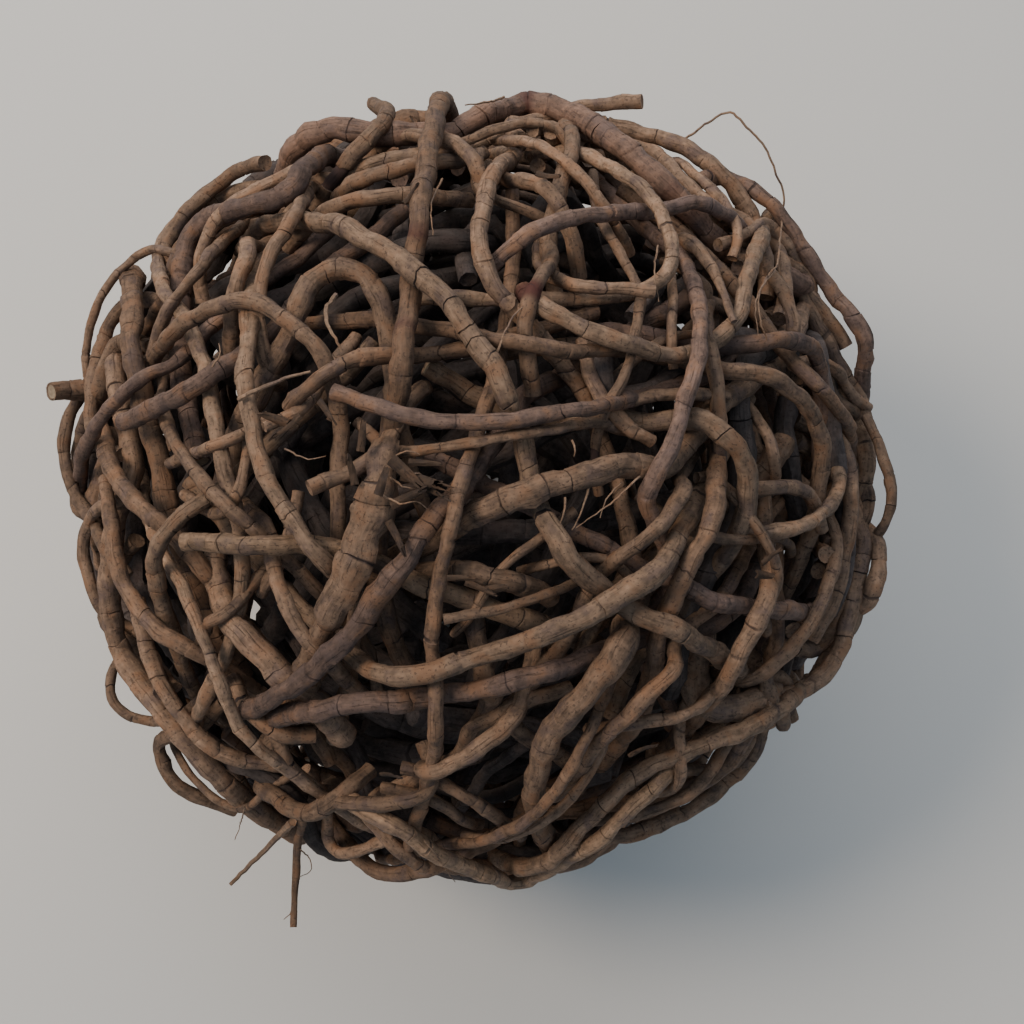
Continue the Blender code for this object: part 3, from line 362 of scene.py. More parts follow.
# %% Second roots along the outline
OUTLINE_LEFT = (
    (2.6, 1.0, ((-74.5, 22.5, 0.9), (-78.2, 20, 0.4), (-80.2, 15.5, 0), (-80.4, 10, 0),
                (-79.8, 4, 0), (-78.4, -1, 0), (-75.5, -6, 0.4), (-73, -12, 0.9))),
    (1.8, 1.0, ((-58, 47.5, 1), (-63, 47.8, 0), (-68.5, 44.5, 0), (-72.5, 39.8, 0),
                (-75, 34, 0), (-75.6, 28, 0), (-74, 23, 1))),
    (2.0, 1.0, ((-71, -31.5, 0.5), (-75.4, -34.5, 0), (-75, -38.8, 0), (-70.2, -42.7, 0),
                (-64.5, -46.3, 0.8))),
    (3.0, 1.0, ((-60.5, 45, 0.8), (-58, 52, 0.3), (-52, 58.5, 0.2), (-45.5, 62.8, 0.2),
                (-40, 63.8, 0.5))),
    (2.6, 1.0, ((-58, 42, 1.2), (-53, 50, 0.9), (-46, 55, 0.9), (-39, 57.5, 1.3))),
    (3.4, 1.0, ((-70, 25, 1), (-74.5, 17, 0.5), (-77, 8, 0.4), (-76.5, -2, 1))),
    (3.0, 1.0, ((-68, 38, 1), (-71.5, 32, 0.3), (-73, 26, 0.2), (-73.5, 19, 0.8))),
    (2.8, 1.0, ((-59, -43, 0.9), (-62.3, -48.5, 0.1), (-61.6, -54.5, 0), (-57.6, -59.6, 0),
                (-52, -62.4, 0), (-45.5, -62, 0.5))),
    (3.0, 1.0, ((-73.6, -17, 0.9), (-74, -23.5, 0.2), (-73.3, -29, 0.1), (-71, -34, 0.4),
                (-66, -38, 0.9))),
    (2.4, 1.0, ((-73, -1, 0.8), (-75, -5, 0.2), (-76, -9.5, 0), (-75.6, -14, 0),
                (-73.8, -18, 0.3), (-72.8, -24, 0.3), (-71, -29.5, 0.6), (-67, -34, 1.3))),
)
OUTLINE_RIGHT = (
    (3.4, 1.0, ((25, 75.5, 0.8), (33, 73.6, 0.2), (37.5, 70.3, 0), (41.6, 65.6, 0),
                (46.5, 63.2, 0),
                (53, 61.8, 0.2), (59, 57.5, 0.7))),
    (3.0, 1.0, ((17, 75, 0.9), (24, 75.6, 0.2), (30, 75.2, 0), (34, 75.2, 0))),
    (3.0, 1.0, ((66, 50.5, 0.8), (70, 48, 0.2), (72.4, 45, 0), (72.8, 40.5, 0),
                (71, 36, 0.6))),
    (3.0, 1.0, ((76.5, 21.5, 0.8), (79.8, 18, 0.1), (81.2, 13.8, 0), (80.2, 9, 0.2),
                (77, 5, 0.9))),
    (3.2, 1.0, ((77.5, 8, 0.8), (79.8, 2, 0.3), (79.5, -4, 0.5), (78, -10, 0.9))),
    (3.2, 1.0, ((79, -20, 0.8), (77.5, -26.5, 0.1), (74.2, -32, 0), (69.6, -36.6, 0),
                (64, -40.4, 0.2), (59, -43, 0.8))),
    (3.2, 1.0, ((54, -41.5, 1), (58.5, -43.5, 0.2), (62, -44.2, 0))),
    (3.0, 1.0, ((24, 72.5, 0.8), (30, 71, 0.5), (36, 67.5, 0.5), (40.5, 62.5, 0.5), (44, 57, 1))),
    (2.0, 1.0, ((40, 66, 0.6), (43, 64.6, 0.2), (46, 60.2, 0), (47.3, 56, 0.4), (48, 51, 1.2))),
    (3.4, 1.0, ((50, 60, 1.2), (53, 57, 0.6), (56, 52.5, 0.5), (58, 47, 1.2))),
    (2.4, 1.0, ((52, 51, 1), (54.5, 54, 0.3), (58, 54, 0), (64.1, 51.1, 0), (66.4, 46.6, 0),
                (67, 42.7, 0.3), (66.5, 37, 1))),
    (3.0, 1.0, ((70, 36, 1), (73, 35.8, 0.2), (76, 35, 0), (78, 31.5, 0), (77.5, 28, 0.5))),
    (2.4, 1.0, ((74.8, 24.5, 0.6), (77.5, 20, 0.2), (80, 16, 0), (80.5, 13.5, 0),
                (79, 10.5, 0.5))),
    (3.2, 1.0, ((66, 44, 1), (68.5, 40, 0.4), (71, 35.5, 0.3), (73.8, 30.5, 0), (76, 25.5, 0),
                (77.3, 19, 0), (78.5, 10, 0), (79, 4, 0.4), (78.5, -2, 1))),
    (3.0, 1.0, ((71, 18, 1), (73, 10, 0.6), (73.5, 2, 0.6), (73, -6, 0.6), (72, -14, 0.8),
                (70, -22, 1.2))),
    (3.2, 1.0, ((79.5, -6, 0.5), (82, -11, 0), (82.6, -16, 0), (81.6, -21.5, 0),
                (79.4, -26.5, 0.2), (74, -31, 0.8))),
    (3.4, 1.0, ((76, 6, 1.2), (77.5, -4, 0.8), (78.5, -14, 0.6), (77.3, -23, 0.6),
                (73.5, -31, 1.2))),
    (3.0, 1.0, ((52, 62, 1), (59, 58, 0.5), (65, 51, 0.4), (69, 45, 0.8))),
    (3.0, 1.0, ((58.3, -46, 0.8), (54.6, -53.2, 0.3), (49.7, -58, 0.1), (43.8, -62.3, 0),
                (37.3, -65.6, 0), (30.1, -68.4, 0.3), (24, -70, 1))),
    (2.4, 1.0, ((56, -47, 1.2), (51, -54, 0.8), (44, -59.5, 0.6), (36, -63, 0.6),
                (29, -65.5, 1.2))),
)
SECOND_ROOTS = {
    "upper_left_roots": UPPER_LEFT, "upper_roots": UPPER_MIDDLE, "upper_right_roots": UPPER_RIGHT,
    "left_roots": MIDDLE_LEFT, "right_roots": MIDDLE_RIGHT,
    "lower_left_roots": LOWER_LEFT, "lower_right_roots": LOWER_RIGHT,
    "left_outline_roots": OUTLINE_LEFT, "right_outline_roots": OUTLINE_RIGHT,
}
print(f"{sum(len(roots) for roots in SECOND_ROOTS.values())} second roots in all")

# %% [markdown]
# ## One list of lines
#
# Every root, whether packed or new, is kept as a line: points, radii, and how many layers lie
# over each point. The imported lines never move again. A root near the eye looks wider than it is,
# so the thickness of a second root is its width made smaller by how near it lies.

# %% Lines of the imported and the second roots
FIXED = 1e6             # weight of a packed root, which never gives way
SECOND = 25.0           # weight of a root laid one by one
OUTLINE = 200.0         # weight of one of those that shape the outline
OUTLINE_LIFT = 1.0      # layers by which such a root counts as lying higher
RULED = 1.0             # weight of a root laid by the rule further down
lines = []


def add_line(group, points, radii, layers, weight):
    """Keep one more root; a lighter one gives way to a heavier one."""
    lines.append({"group": group, "points": np.asarray(points, float), "radii": np.asarray(radii),
                  "layers": np.asarray(layers, float), "weight": weight})


for name, course in packed.items():
    course = spaced(course, RING_STEP)
    depth = (SKIN - course[:, 3] - np.linalg.norm(course[:, :3], axis=1)) / LAYER
    add_line(name, course[:, :3], course[:, 3], depth, FIXED)

DIPPING = 0.55          # an end with at least this many layers over it dips out of sight
RUN_ON = 6.0            # how far such an end runs on, in the plane of sight
RUN_DEEPER = 1.7        # and how many layers deeper it gets
RUN_LIMIT = 68.0        # it turns in to stay this near the ball's middle


def run_on(course):
    """The course with each dipping end led on and further down."""
    course = [np.array(point, float) for point in course]
    for _ in ("start", "end"):
        course.reverse()
        end, before = course[-1], course[-2]
        if end[2] >= DIPPING:
            ahead = end[:2] + RUN_ON * unit(end[:2] - before[:2])
            ahead *= min(1.0, RUN_LIMIT / np.linalg.norm(ahead))
            course.append(np.array([*ahead, end[2] + RUN_DEEPER]))
    return course


for group, roots in SECOND_ROOTS.items():
    for width, end_share, course in roots:
        course = run_on(course)
        nearness = np.mean([sighted(*point, width) @ FACE_OUT for point in course])
        thickness = width * (1 - nearness / SIGHT_DISTANCE)
        laid = [[*sighted(*point, thickness), point[2]] for point in course]
        laid = spaced(laid, RING_STEP)
        taper = np.linspace(1.0, end_share, len(laid))
        if "outline" in group:
            add_line(group, laid[:, :3], thickness / 2 * taper, laid[:, 3] - OUTLINE_LIFT, OUTLINE)
        else:
            add_line(group, laid[:, :3], thickness / 2 * taper, laid[:, 3], SECOND)
print(f"{len(lines)} lines")

# %% [markdown]
# ## Roots of the hidden side and of the inside
#
# Underneath and behind, nobody has chosen the courses one by one, so a rule does. A root sets out
# somewhere, keeps turning a little one way, and swings up and down through the layers. Of many
# such strolls the one is kept that fills the most open skin, as a weaver fills the widest gap.
# The same rule lays a few loose roots deeper inside, which make the gaps look dark and full.

# %% Strolls over the ball
rng = np.random.default_rng(77)
STROLL_STEP = 6.0       # spacing of the points of a stroll
OPEN_CAP = 14.0         # a gap wider than this counts no more when strolls are compared
TRIALS = 90             # strolls compared for each root


def strolls(count, length, bend, edge, veer):
    """Directions from the ball's middle along a number of strolls, (count, steps, 3)."""
    ahead = unit(rng.normal(size=(count * 4, 3)))
    ahead = ahead[ahead @ FACE_OUT < edge][:count]
    heading = unit(np.cross(ahead, rng.normal(size=ahead.shape)))
    turn = rng.uniform(-bend, bend, (len(ahead), 1)) * STROLL_STEP
    angle = STROLL_STEP / SKIN
    found = [ahead]
    for _ in range(int(length / STROLL_STEP)):
        moved = ahead * math.cos(angle) + heading * math.sin(angle)
        heading = heading * math.cos(angle) - ahead * math.sin(angle)
        heading = heading * np.cos(turn) + np.cross(moved, heading) * np.sin(turn)
        back = (moved @ FACE_OUT > edge)[:, None]
        heading = heading - veer * back * FACE_OUT
        heading = unit(heading - (heading * moved).sum(axis=1, keepdims=True) * moved)
        ahead = moved
        found.append(ahead)
    return np.stack(found, axis=1)


def seen(points, radii=0.0):
    """Places and radii in the plane of sight, as the eye sees them."""
    nearer = SIGHT_DISTANCE / (SIGHT_DISTANCE - points @ FACE_OUT)
    flat = np.stack([points @ FACE_RIGHT, points @ FACE_UP], axis=-1)
    return flat * nearer[..., None], radii * nearer


DARK_GAPS = (           # gaps of the show face that look almost black: right, up and radius
    (-64, 6, 3), (-33, 7, 6), (-44, -2, 4), (-53, -18, 3), (-47, -28, 3), (-31, -21, 4),
    (9, -9, 8), (16, 7, 5), (20, 21, 5), (37, 19, 4), (42, 0, 4), (5, -56, 5), (33, -50, 5),
    (-22, 34, 7), (-8, 23, 4), (1, -2, 4), (-13, -35, 4),
)
GAP_RIM = 2.0           # room kept round such a gap
GAP_COST = 6.0          # openness given up for each step that crosses one
SWING = 46.0            # length of one swing down through the layers and up again


def gap_steps(trials):
    """How many steps of each stroll cross a dark gap in front, where they would be seen."""
    flat, _ = seen(trials * SKIN)
    crossed = np.zeros(trials.shape[:2], bool)
    for right, up, radius in DARK_GAPS:
        crossed |= np.linalg.norm(flat - (right, up), axis=-1) < radius + GAP_RIM
    return (crossed & (trials @ FACE_OUT > 0)).sum(axis=1)


def most_open(trials, laid):
    """The stroll that keeps furthest from the directions already laid, and out of dark gaps."""
    cosines = trials.reshape(-1, 3) @ unit(laid).T
    gaps = SKIN * np.arccos(np.clip(cosines.max(axis=1), -1, 1))
    openness = np.minimum(gaps, OPEN_CAP).reshape(len(trials), -1).mean(axis=1)
    return trials[(openness - GAP_COST * gap_steps(trials) / trials.shape[1]).argmax()]


def lay_strolls(group, count, thickness, length, layers, bend, edge, veer, laid):
    """Add a number of roots by the rule; thickness, length and layers are given as ranges."""
    for _ in range(count):
        size = rng.uniform(*thickness)
        chosen = most_open(strolls(TRIALS, rng.uniform(*length), bend, edge, veer), laid)
        laid = np.vstack([laid, chosen])
        swing = np.arange(len(chosen)) * STROLL_STEP * 2 * math.pi / SWING
        swing = 0.5 + 0.5 * np.sin(swing + rng.uniform(0, 2 * math.pi))
        depth = layers[0] + (layers[1] - layers[0]) * swing
        course = chosen * (SKIN - size / 2 - depth * LAYER)[:, None]
        course = spaced(np.column_stack([course, depth]), RING_STEP)
        add_line(group, course[:, :3], np.full(len(course), size / 2), course[:, 3], RULED)


# %% Roots laid by the rule
STROLLS = {     # roots, thickness, length, layers, bending, how far to the front, steering back
    "hidden_roots": (40, (2.0, 3.8), (90, 210), (0.1, 1.7), 0.0055, -0.02, 0.22),
    "under_roots": (30, (1.8, 3.6), (60, 130), (1.4, 2.6), 0.006, 0.3, 0.15),
    "inner_roots": (52, (2.2, 4.0), (90, 170), (2.8, 5.2), 0.006, 2.0, 0.0),
}
INSIDE = 2.2            # layers over a point that lies inside the ball's shell

on_skin = np.vstack([line["points"] for line in lines])
inside = np.vstack([line["points"][line["layers"] > INSIDE] for line in lines])
for group, rule in STROLLS.items():
    lay_strolls(group, *rule, inside if group == "inner_roots" else on_skin)
print(f"{len(lines)} lines, {sum(len(line['points']) for line in lines) * RING_STEP / 1000:.1f} m")

# %% [markdown]
# ## Let the roots settle
#
# Laid like this, some roots run through others. A settling pass cures that: where two come too
# close, the one with fewer layers over it moves out and the other one in, and each root is evened
# out after every step so that it stays smooth. A packed root gives way to nothing.

# %% Find the neighbours
CLEARANCE = 0.1         # air wanted between two roots
BLOCK = 600             # stretches compared at once
NEAR = 1.0              # stretches count as neighbours while they are this far apart
OWN_REACH = 4           # stretches of one root that are never parted from each other


def near_pairs(points, radii, owner, loose):
    """Pairs of stretches near enough to touch, at least one of them on a root that can move."""
    first = np.nonzero(owner[1:] == owner[:-1])[0]
    middles = ((points[first] + points[first + 1]) / 2).astype(np.float32)
    sizes = (np.linalg.norm(points[first + 1] - points[first], axis=1) / 2
             + radii[first] + NEAR).astype(np.float32)
    squares = (middles ** 2).sum(axis=1)
    found = []
    for start in range(0, len(first), BLOCK):
        rows = slice(start, start + BLOCK)
        apart = squares[rows, None] + squares - 2 * middles[rows] @ middles.T
        low, high = np.nonzero(apart < (sizes[rows, None] + sizes) ** 2)
        low += start
        found.append(np.stack([first[low[high > low]], first[high[high > low]]]))
    a, b = np.hstack(found)
    apart = (owner[a] != owner[b]) | (np.abs(a - b) >= OWN_REACH)
    keep = apart & (loose[a] | loose[b])
    return a[keep], b[keep]


def closest(points, a, b):
    """Shares along two stretches of their closest points."""
    u = points[a + 1] - points[a]
    v = points[b + 1] - points[b]
    w = points[a] - points[b]
    uu, uv, vv = (u * u).sum(axis=1), (u * v).sum(axis=1), (v * v).sum(axis=1)
    uw, vw = (u * w).sum(axis=1), (v * w).sum(axis=1)
    area = np.maximum(uu * vv - uv * uv, 1e-9)
    s = np.clip((uv * vw - vv * uw) / area, 0, 1)
    t = np.clip((uv * s + vw) / vv, 0, 1)
    s = np.clip((uv * t - uw) / uu, 0, 1)
    return s[:, None], t[:, None]


# %% Part the roots that touch
UPPER_SHARE = 0.35      # part of a correction taken by the upper root of a crossing
CROSSING_SINE = 0.3     # two stretches cross, and don't run side by side, above this sine


def scattered(numbers, weights, count):
    """Sum of the weights that fall on each number."""
    return np.stack([np.bincount(numbers, column, count) for column in weights.T], axis=1)


def part(points, radii, layers, weights, a, b):
    """Moves that part the stretches which are too close."""
    s, t = closest(points, a, b)
    on_a = points[a] * (1 - s) + points[a + 1] * s
    on_b = points[b] * (1 - t) + points[b + 1] * t
    offset = on_a - on_b
    distance = np.maximum(np.linalg.norm(offset, axis=1), 1e-6)
    hit = distance < radii[a] + radii[b] + CLEARANCE
    a, b, s, t, offset, distance = (x[hit] for x in (a, b, s, t, offset, distance))
    outward = unit(on_a[hit] + on_b[hit])
    across = np.cross(points[a + 1] - points[a], points[b + 1] - points[b])
    size = np.linalg.norm(across, axis=1)
    lengths = (np.linalg.norm(points[a + 1] - points[a], axis=1)
               * np.linalg.norm(points[b + 1] - points[b], axis=1))
    crossing = size > CROSSING_SINE * lengths
    across *= np.sign((across * outward).sum(axis=1))[:, None] / np.maximum(size, 1e-9)[:, None]
    above = np.where(layers[a] <= layers[b], 1.0, -1.0)
    away = np.where(crossing[:, None], across * above[:, None], offset / distance[:, None])
    reached = np.where(crossing, (offset * away).sum(axis=1), distance)
    lack = (radii[a] + radii[b] + CLEARANCE - reached)[:, None]
    share_a = np.where(crossing, np.where(above > 0, UPPER_SHARE, 1 - UPPER_SHARE), 0.5)
    share_b = (1 - share_a) / weights[b]
    share_a = share_a / weights[a]
    share_a = (share_a / (share_a + share_b))[:, None]
    moves = np.zeros_like(points)
    count = np.zeros((len(points), 1))
    for number, share, sign, weight in ((a, share_a, 1, s), (b, 1 - share_a, -1, t)):
        push = away * sign * share * lack / ((1 - weight) ** 2 + weight ** 2)
        for end, part_of in ((number, 1 - weight), (number + 1, weight)):
            moves += scattered(end, push * part_of, len(points))
            count += scattered(end, part_of, len(points))
    return moves / np.maximum(count, 1.0), lack.max(initial=0.0)


# %% Settle the whole ball
PASSES = 250
SECOND_PASSES = 45      # passes once loose roots have been added
LAST_PASSES = 12        # passes at the end that only part
REFRESH = 12            # passes between two searches for neighbours
STRIDE = 0.9            # share of a correction made in one pass
EVEN_SHARE = 0.2        # part of the unevenness of a root's moves taken out in one pass
LAST_EVENINGS = 2       # times every course is evened out at the end
HOME_KEEP = {OUTLINE: 0.9, SECOND: 0.95, RULED: 0.985}  # part of its moves kept in one pass
SKIN_MARGIN = 0.5       # room kept under the skin for the relief of the bark


def settle(passes):
    """Part all the roots step by step, each one drawn back a little to where it was laid."""
    places = np.vstack([line["points"] for line in lines])
    radii = np.concatenate([line["radii"] for line in lines])
    layers = np.concatenate([line["layers"] for line in lines])
    counts = [len(line["points"]) for line in lines]
    owner = np.repeat(np.arange(len(lines)), counts)
    weights = np.repeat([line["weight"] for line in lines], counts)
    loose = weights < FIXED
    keep = np.array([[HOME_KEEP.get(weight, 0.0)] for weight in weights])
    inner = np.zeros(len(places), bool)
    inner[1:-1] = (owner[1:-1] == owner[:-2]) & (owner[1:-1] == owner[2:])
    home = places.copy()
    reach = SKIN - SKIN_MARGIN - radii
    reach = np.where(weights > RULED, np.maximum(reach, np.linalg.norm(home, axis=1)), reach)
    ground = SKIN_MARGIN + radii - MIDDLE[2]
    for step in range(passes + LAST_PASSES):
        if step % REFRESH == 0:
            a, b = near_pairs(places, radii, owner, loose)
        moves, worst = part(places, radii, layers, weights, a, b)
        places += STRIDE * moves
        if step < passes:
            moved = places - home
            even = moved.copy()
            even[1:-1] = (moved[:-2] + moved[2:]) / 2
            even[~inner] = moved[~inner]
            places = home + keep * (moved + EVEN_SHARE * (even - moved))
        shrink = np.minimum(1.0, reach / np.linalg.norm(places, axis=1))
        places[loose] *= shrink[loose, None]
        places[:, 2] = np.maximum(places[:, 2], ground)
        places[~loose] = home[~loose]
    for _ in range(LAST_EVENINGS):
        even = places.copy()
        even[1:-1] = (places[:-2] + 2 * places[1:-1] + places[2:]) / 4
        places = np.where((inner & loose)[:, None], even, places)
    shift = np.linalg.norm(places - home, axis=1)
    for line, course in zip(lines, np.split(places, np.cumsum(counts)[:-1])):
        line["points"] = course
    print(f"{len(a)} pairs, moved {shift.mean():.1f} mm, at most {shift.max():.1f}, "
          f"lack {worst:.1f} mm")


settle(PASSES)

# %% [markdown]
# The real ball is so full that hardly any light comes through it towards the eye. So the last
# loose roots aren't laid where the skin is open but where a line of sight still runs right
# through the ball, either deep inside or round the back. Only a few of those lines are left open,
# where the real ball is open too. After each of the first rounds everything settles once more;
# the roots of the last one lie so deep that they have room anyway.

# %% Which lines of sight are open
SIGHT_GRID = 1.3        # spacing of the lines of sight that are tested
SIGHT_REACH = 74.0      # how far from the middle they are tested
SIGHT_SHARE = 0.85      # share of a root's width that surely hides what is behind
LEFT_OPEN = ((-34, -17.5, 4), (67, -34, 3), (-60, -54, 5), (-72, 37, 6))


def hidden_by(sights, points, radii):
    """Which sights the courses hide; points are (courses, steps, 3), with a radius a course."""
    flat, wide = seen(points, radii[:, None])
    start, along = flat[:, :-1, None], np.diff(flat, axis=1)[:, :, None]
    offset = sights - start
    share = np.clip((offset * along).sum(axis=-1) / (along ** 2).sum(axis=-1), 0, 1)
    distance = np.linalg.norm(offset - share[..., None] * along, axis=-1)
    return (distance < SIGHT_SHARE * wide[:, :-1, None]).any(axis=1)


def open_sights():
    """Places in the plane of sight where nothing hides what is behind the ball."""
    grid = np.arange(-SIGHT_REACH, SIGHT_REACH, SIGHT_GRID)
    sights = np.stack(np.meshgrid(grid, grid), axis=-1).reshape(-1, 2)
    sights = sights[np.linalg.norm(sights, axis=1) < SIGHT_REACH]
    for right, up, radius in LEFT_OPEN:
        sights = sights[np.linalg.norm(sights - (right, up), axis=1) > radius]
    for line in lines:
        hit = hidden_by(sights, line["points"][None], line["radii"][:1])
        sights = sights[~hit[0]]
    return sights


# %% Close them from inside
FILLER_KINDS = (        # shallowest and deepest layer, how far to the front it may come, steering
    (9.5, 13.0, 2.0, 0.0),      # anywhere in the hollow
    (5.2, 8.6, 2.0, 0.0),       # anywhere, but deep inside
    (0.6, 3.0, 0.15, 0.2),      # near the skin, but round the back
)
FILLER_SIZES = (2.8, 4.4)       # range of their thickness
FILLER_LENGTHS = (80, 150)
FILLER_BEND = 0.008
FILLERS = (80, 40)      # roots laid in each round
LAST_FILLERS = 24       # roots laid at the very end


def fill(count, kinds):
    """Lay up to so many loose roots, each one where it hides most open sights."""
    sights = open_sights()
    print(f"{len(sights)} lines of sight are open", end=", ")
    for _ in range(count):
        size = rng.uniform(*FILLER_SIZES)
        most = 0
        for shallowest, deepest, edge, veer in kinds:
            depth = rng.uniform(shallowest, deepest)
            trials = strolls(TRIALS, rng.uniform(*FILLER_LENGTHS), FILLER_BEND, edge, veer)
            trials = trials * (SKIN - size / 2 - depth * LAYER)
            hits = hidden_by(sights, trials, np.full(len(trials), size / 2))
            best = hits.sum(axis=1).argmax()
            if hits[best].sum() > most:
                most = hits[best].sum()
                chosen, hidden, chosen_depth = trials[best], hits[best], depth
        if most:
            course = spaced(chosen, RING_STEP)
            add_line("inner_roots", course, np.full(len(course), size / 2),
                     np.full(len(course), chosen_depth), RULED)
            sights = sights[~hidden]
    print(f"{len(sights)} after filling")


for count in FILLERS:
    fill(count, FILLER_KINDS)
    settle(SECOND_PASSES)
fill(LAST_FILLERS, FILLER_KINDS[:1])
print(f"{len(open_sights())} lines of sight stay open")

# %% [markdown]
# ## Bark
#
# Bark on a bent root cracks straight across every few millimetres. Each piece of bark is a short
# cylinder with crisp ends, a little different in girth from the next one, and here and there one
# has dropped off and shows the thinner, darker core. So the rings of the mesh aren't evenly
# spaced: four of them stand close together at every crack, two on its lips and two on its floor.

# %% Where a root is cracked
CRACK_GAP = 4.3         # usual distance between two cracks
CRACK_SPREAD = 0.6      # how much that distance varies, as the spread of its logarithm
LIP = 0.09              # length over which the bark drops into a crack
GAPING_SHARE = 0.08     # share of the cracks that gape
GAPING, HAIRLINE = (0.12, 0.35), (0.02, 0.07)       # half-widths of the two kinds
CRACK_DEPTH = (0.05, 0.13)      # range of their depths, as a share of the radius
ROOT_SPREAD = (0.75, 1.6)       # how much the distance differs from root to root
FIRST_CRACK = (0.3, 0.9)        # where the first one may be, in usual distances from the end
PIECE_LENGTHS = (1.5, 15.0)     # shortest and longest piece of bark


def crack_plan(length, scale):
    """Place, half-width and depth of each crack along a root."""
    cracks = []
    scale = scale * rng.uniform(*ROOT_SPREAD)
    shortest, longest = PIECE_LENGTHS
    place = rng.uniform(*FIRST_CRACK) * CRACK_GAP
    while place < length - shortest:
        half = rng.uniform(*(GAPING if rng.uniform() < GAPING_SHARE else HAIRLINE))
        cracks.append((place, half, rng.uniform(*CRACK_DEPTH)))
        gap = CRACK_GAP * scale * math.exp(rng.normal(0, CRACK_SPREAD))
        place += 2 * half + 2 * LIP + min(max(gap, shortest), longest)
    return cracks


def stations(length, cracks, step):
    """Distances along a root where it gets a ring, and the number of the crack each belongs to."""
    marks = [0.0]
    crack_of = [-1]
    for number, (place, half, _) in enumerate([*cracks, (length + LIP, 0.0, 0.0)]):
        start = marks[-1]
        end = place - half - LIP
        count = max(1, math.ceil((end - start) / step))
        marks.extend(start + (end - start) * (index + 1) / count for index in range(count))
        crack_of.extend([-1] * (count - 1) + [number])
        if number < len(cracks):
            marks.extend([place - half, place + half, place + half + LIP])
            crack_of.extend([number] * 3)
    crack_of[-1] = -1
    return np.array(marks), np.array(crack_of)


# %% [markdown]
# The tube itself is made as by hand: a curve with one point for each ring, a round bevel that is
# as thick at each point as the root is there, and then a conversion to a mesh. The conversion
# keeps the corners ring by ring, so what comes next can treat them as a grid.

# %% A round tube along a course
def tube(name, middles, radii, sides):
    """A mesh tube along the given ring middles, in metres about the ball's middle."""
    bpy.ops.curve.primitive_bezier_curve_add()
    curve = bpy.context.active_object
    curve.name = name
    curve.data.splines.clear()
    spline = curve.data.splines.new("POLY")
    spline.points.add(len(middles) - 1)
    spline.points.foreach_set("co", np.column_stack([middles, np.ones(len(middles))]).ravel())
    spline.points.foreach_set("radius", radii)
    curve.data.bevel_depth = 1.0
    curve.data.bevel_resolution = (sides - 4) // 2
    bpy.ops.object.convert(target="MESH")
    return bpy.context.active_object


# %% [markdown]
# Real bark isn't round. Low ridges run along it, it swells and narrows, and every piece between
# two cracks sits a little proud of the next or behind it. All of this is worked into the grid of
# corners, together with the numbers that the bark finish will read later.

# %% Shape the bark
# Of the whole root; every share is one of the radius
WANDER = ((17.0, 0.05), (8.0, 0.04), (4.1, 0.025))     # wavelength and share of each swelling
SWAY = ((13.0, 0.09), (5.7, 0.05))                     # wavelength and share of each small bend
RIDGES = ((2, 0.055), (3, 0.035), (5, 0.018))          # number round the root and share of each
RIDGE_TWIST, RIDGE_SWAY, RIDGE_WAVE = 0.12, 0.6, 23.0   # how the ridges wind round the root
FINE_RELIEF = 0.022     # spread of the small dents and bumps
GIRTH_SPREAD = 0.028    # spread of the girths of the pieces of bark
SCAR_GAP = 22.0         # usual distance between two scars of broken rootlets
SCAR_LENGTH, SCAR_TURN, SCAR_HEIGHT = 0.9, 0.5, (0.1, 0.28)
FULL_TURN = 6.3         # a full turn or just over, for angles drawn at random
# Of a crack, whose floor is painted dark: partly its darker core, partly painted shade
CRACK_DARKNESS = (0.3, 0.95)    # range of how dark it is
CRACK_AROUND = (-1.1, 1.0)      # from open over a small part of the girth to open all round
CRACK_REACH, CRACK_EDGE = 0.35, 0.6     # how far round it is open and how gently it closes
LIP_RISE = 0.02         # how much its lips curl up
SLANT, BOW, JAGGED = 0.25, 0.16, 0.09   # how it strays from straight across, in millimetres
# Of a place where a piece of bark has dropped off
BARE_SHARE = 0.003      # share of the pieces that have
BARE_GAPS = (1.2, 5.0)  # lengths between which a piece can drop off
BARE_DEPTH = 0.17       # how much thinner the core is
BARE_RELIEF, BARE_CRACKS = 0.3, 0.4     # shares of the relief and of the cracks left on it


def wave(along, wavelength):
    """A wave along the root that starts anywhere."""
    return np.sin(2 * math.pi * along / wavelength + rng.uniform(0, 2 * math.pi))


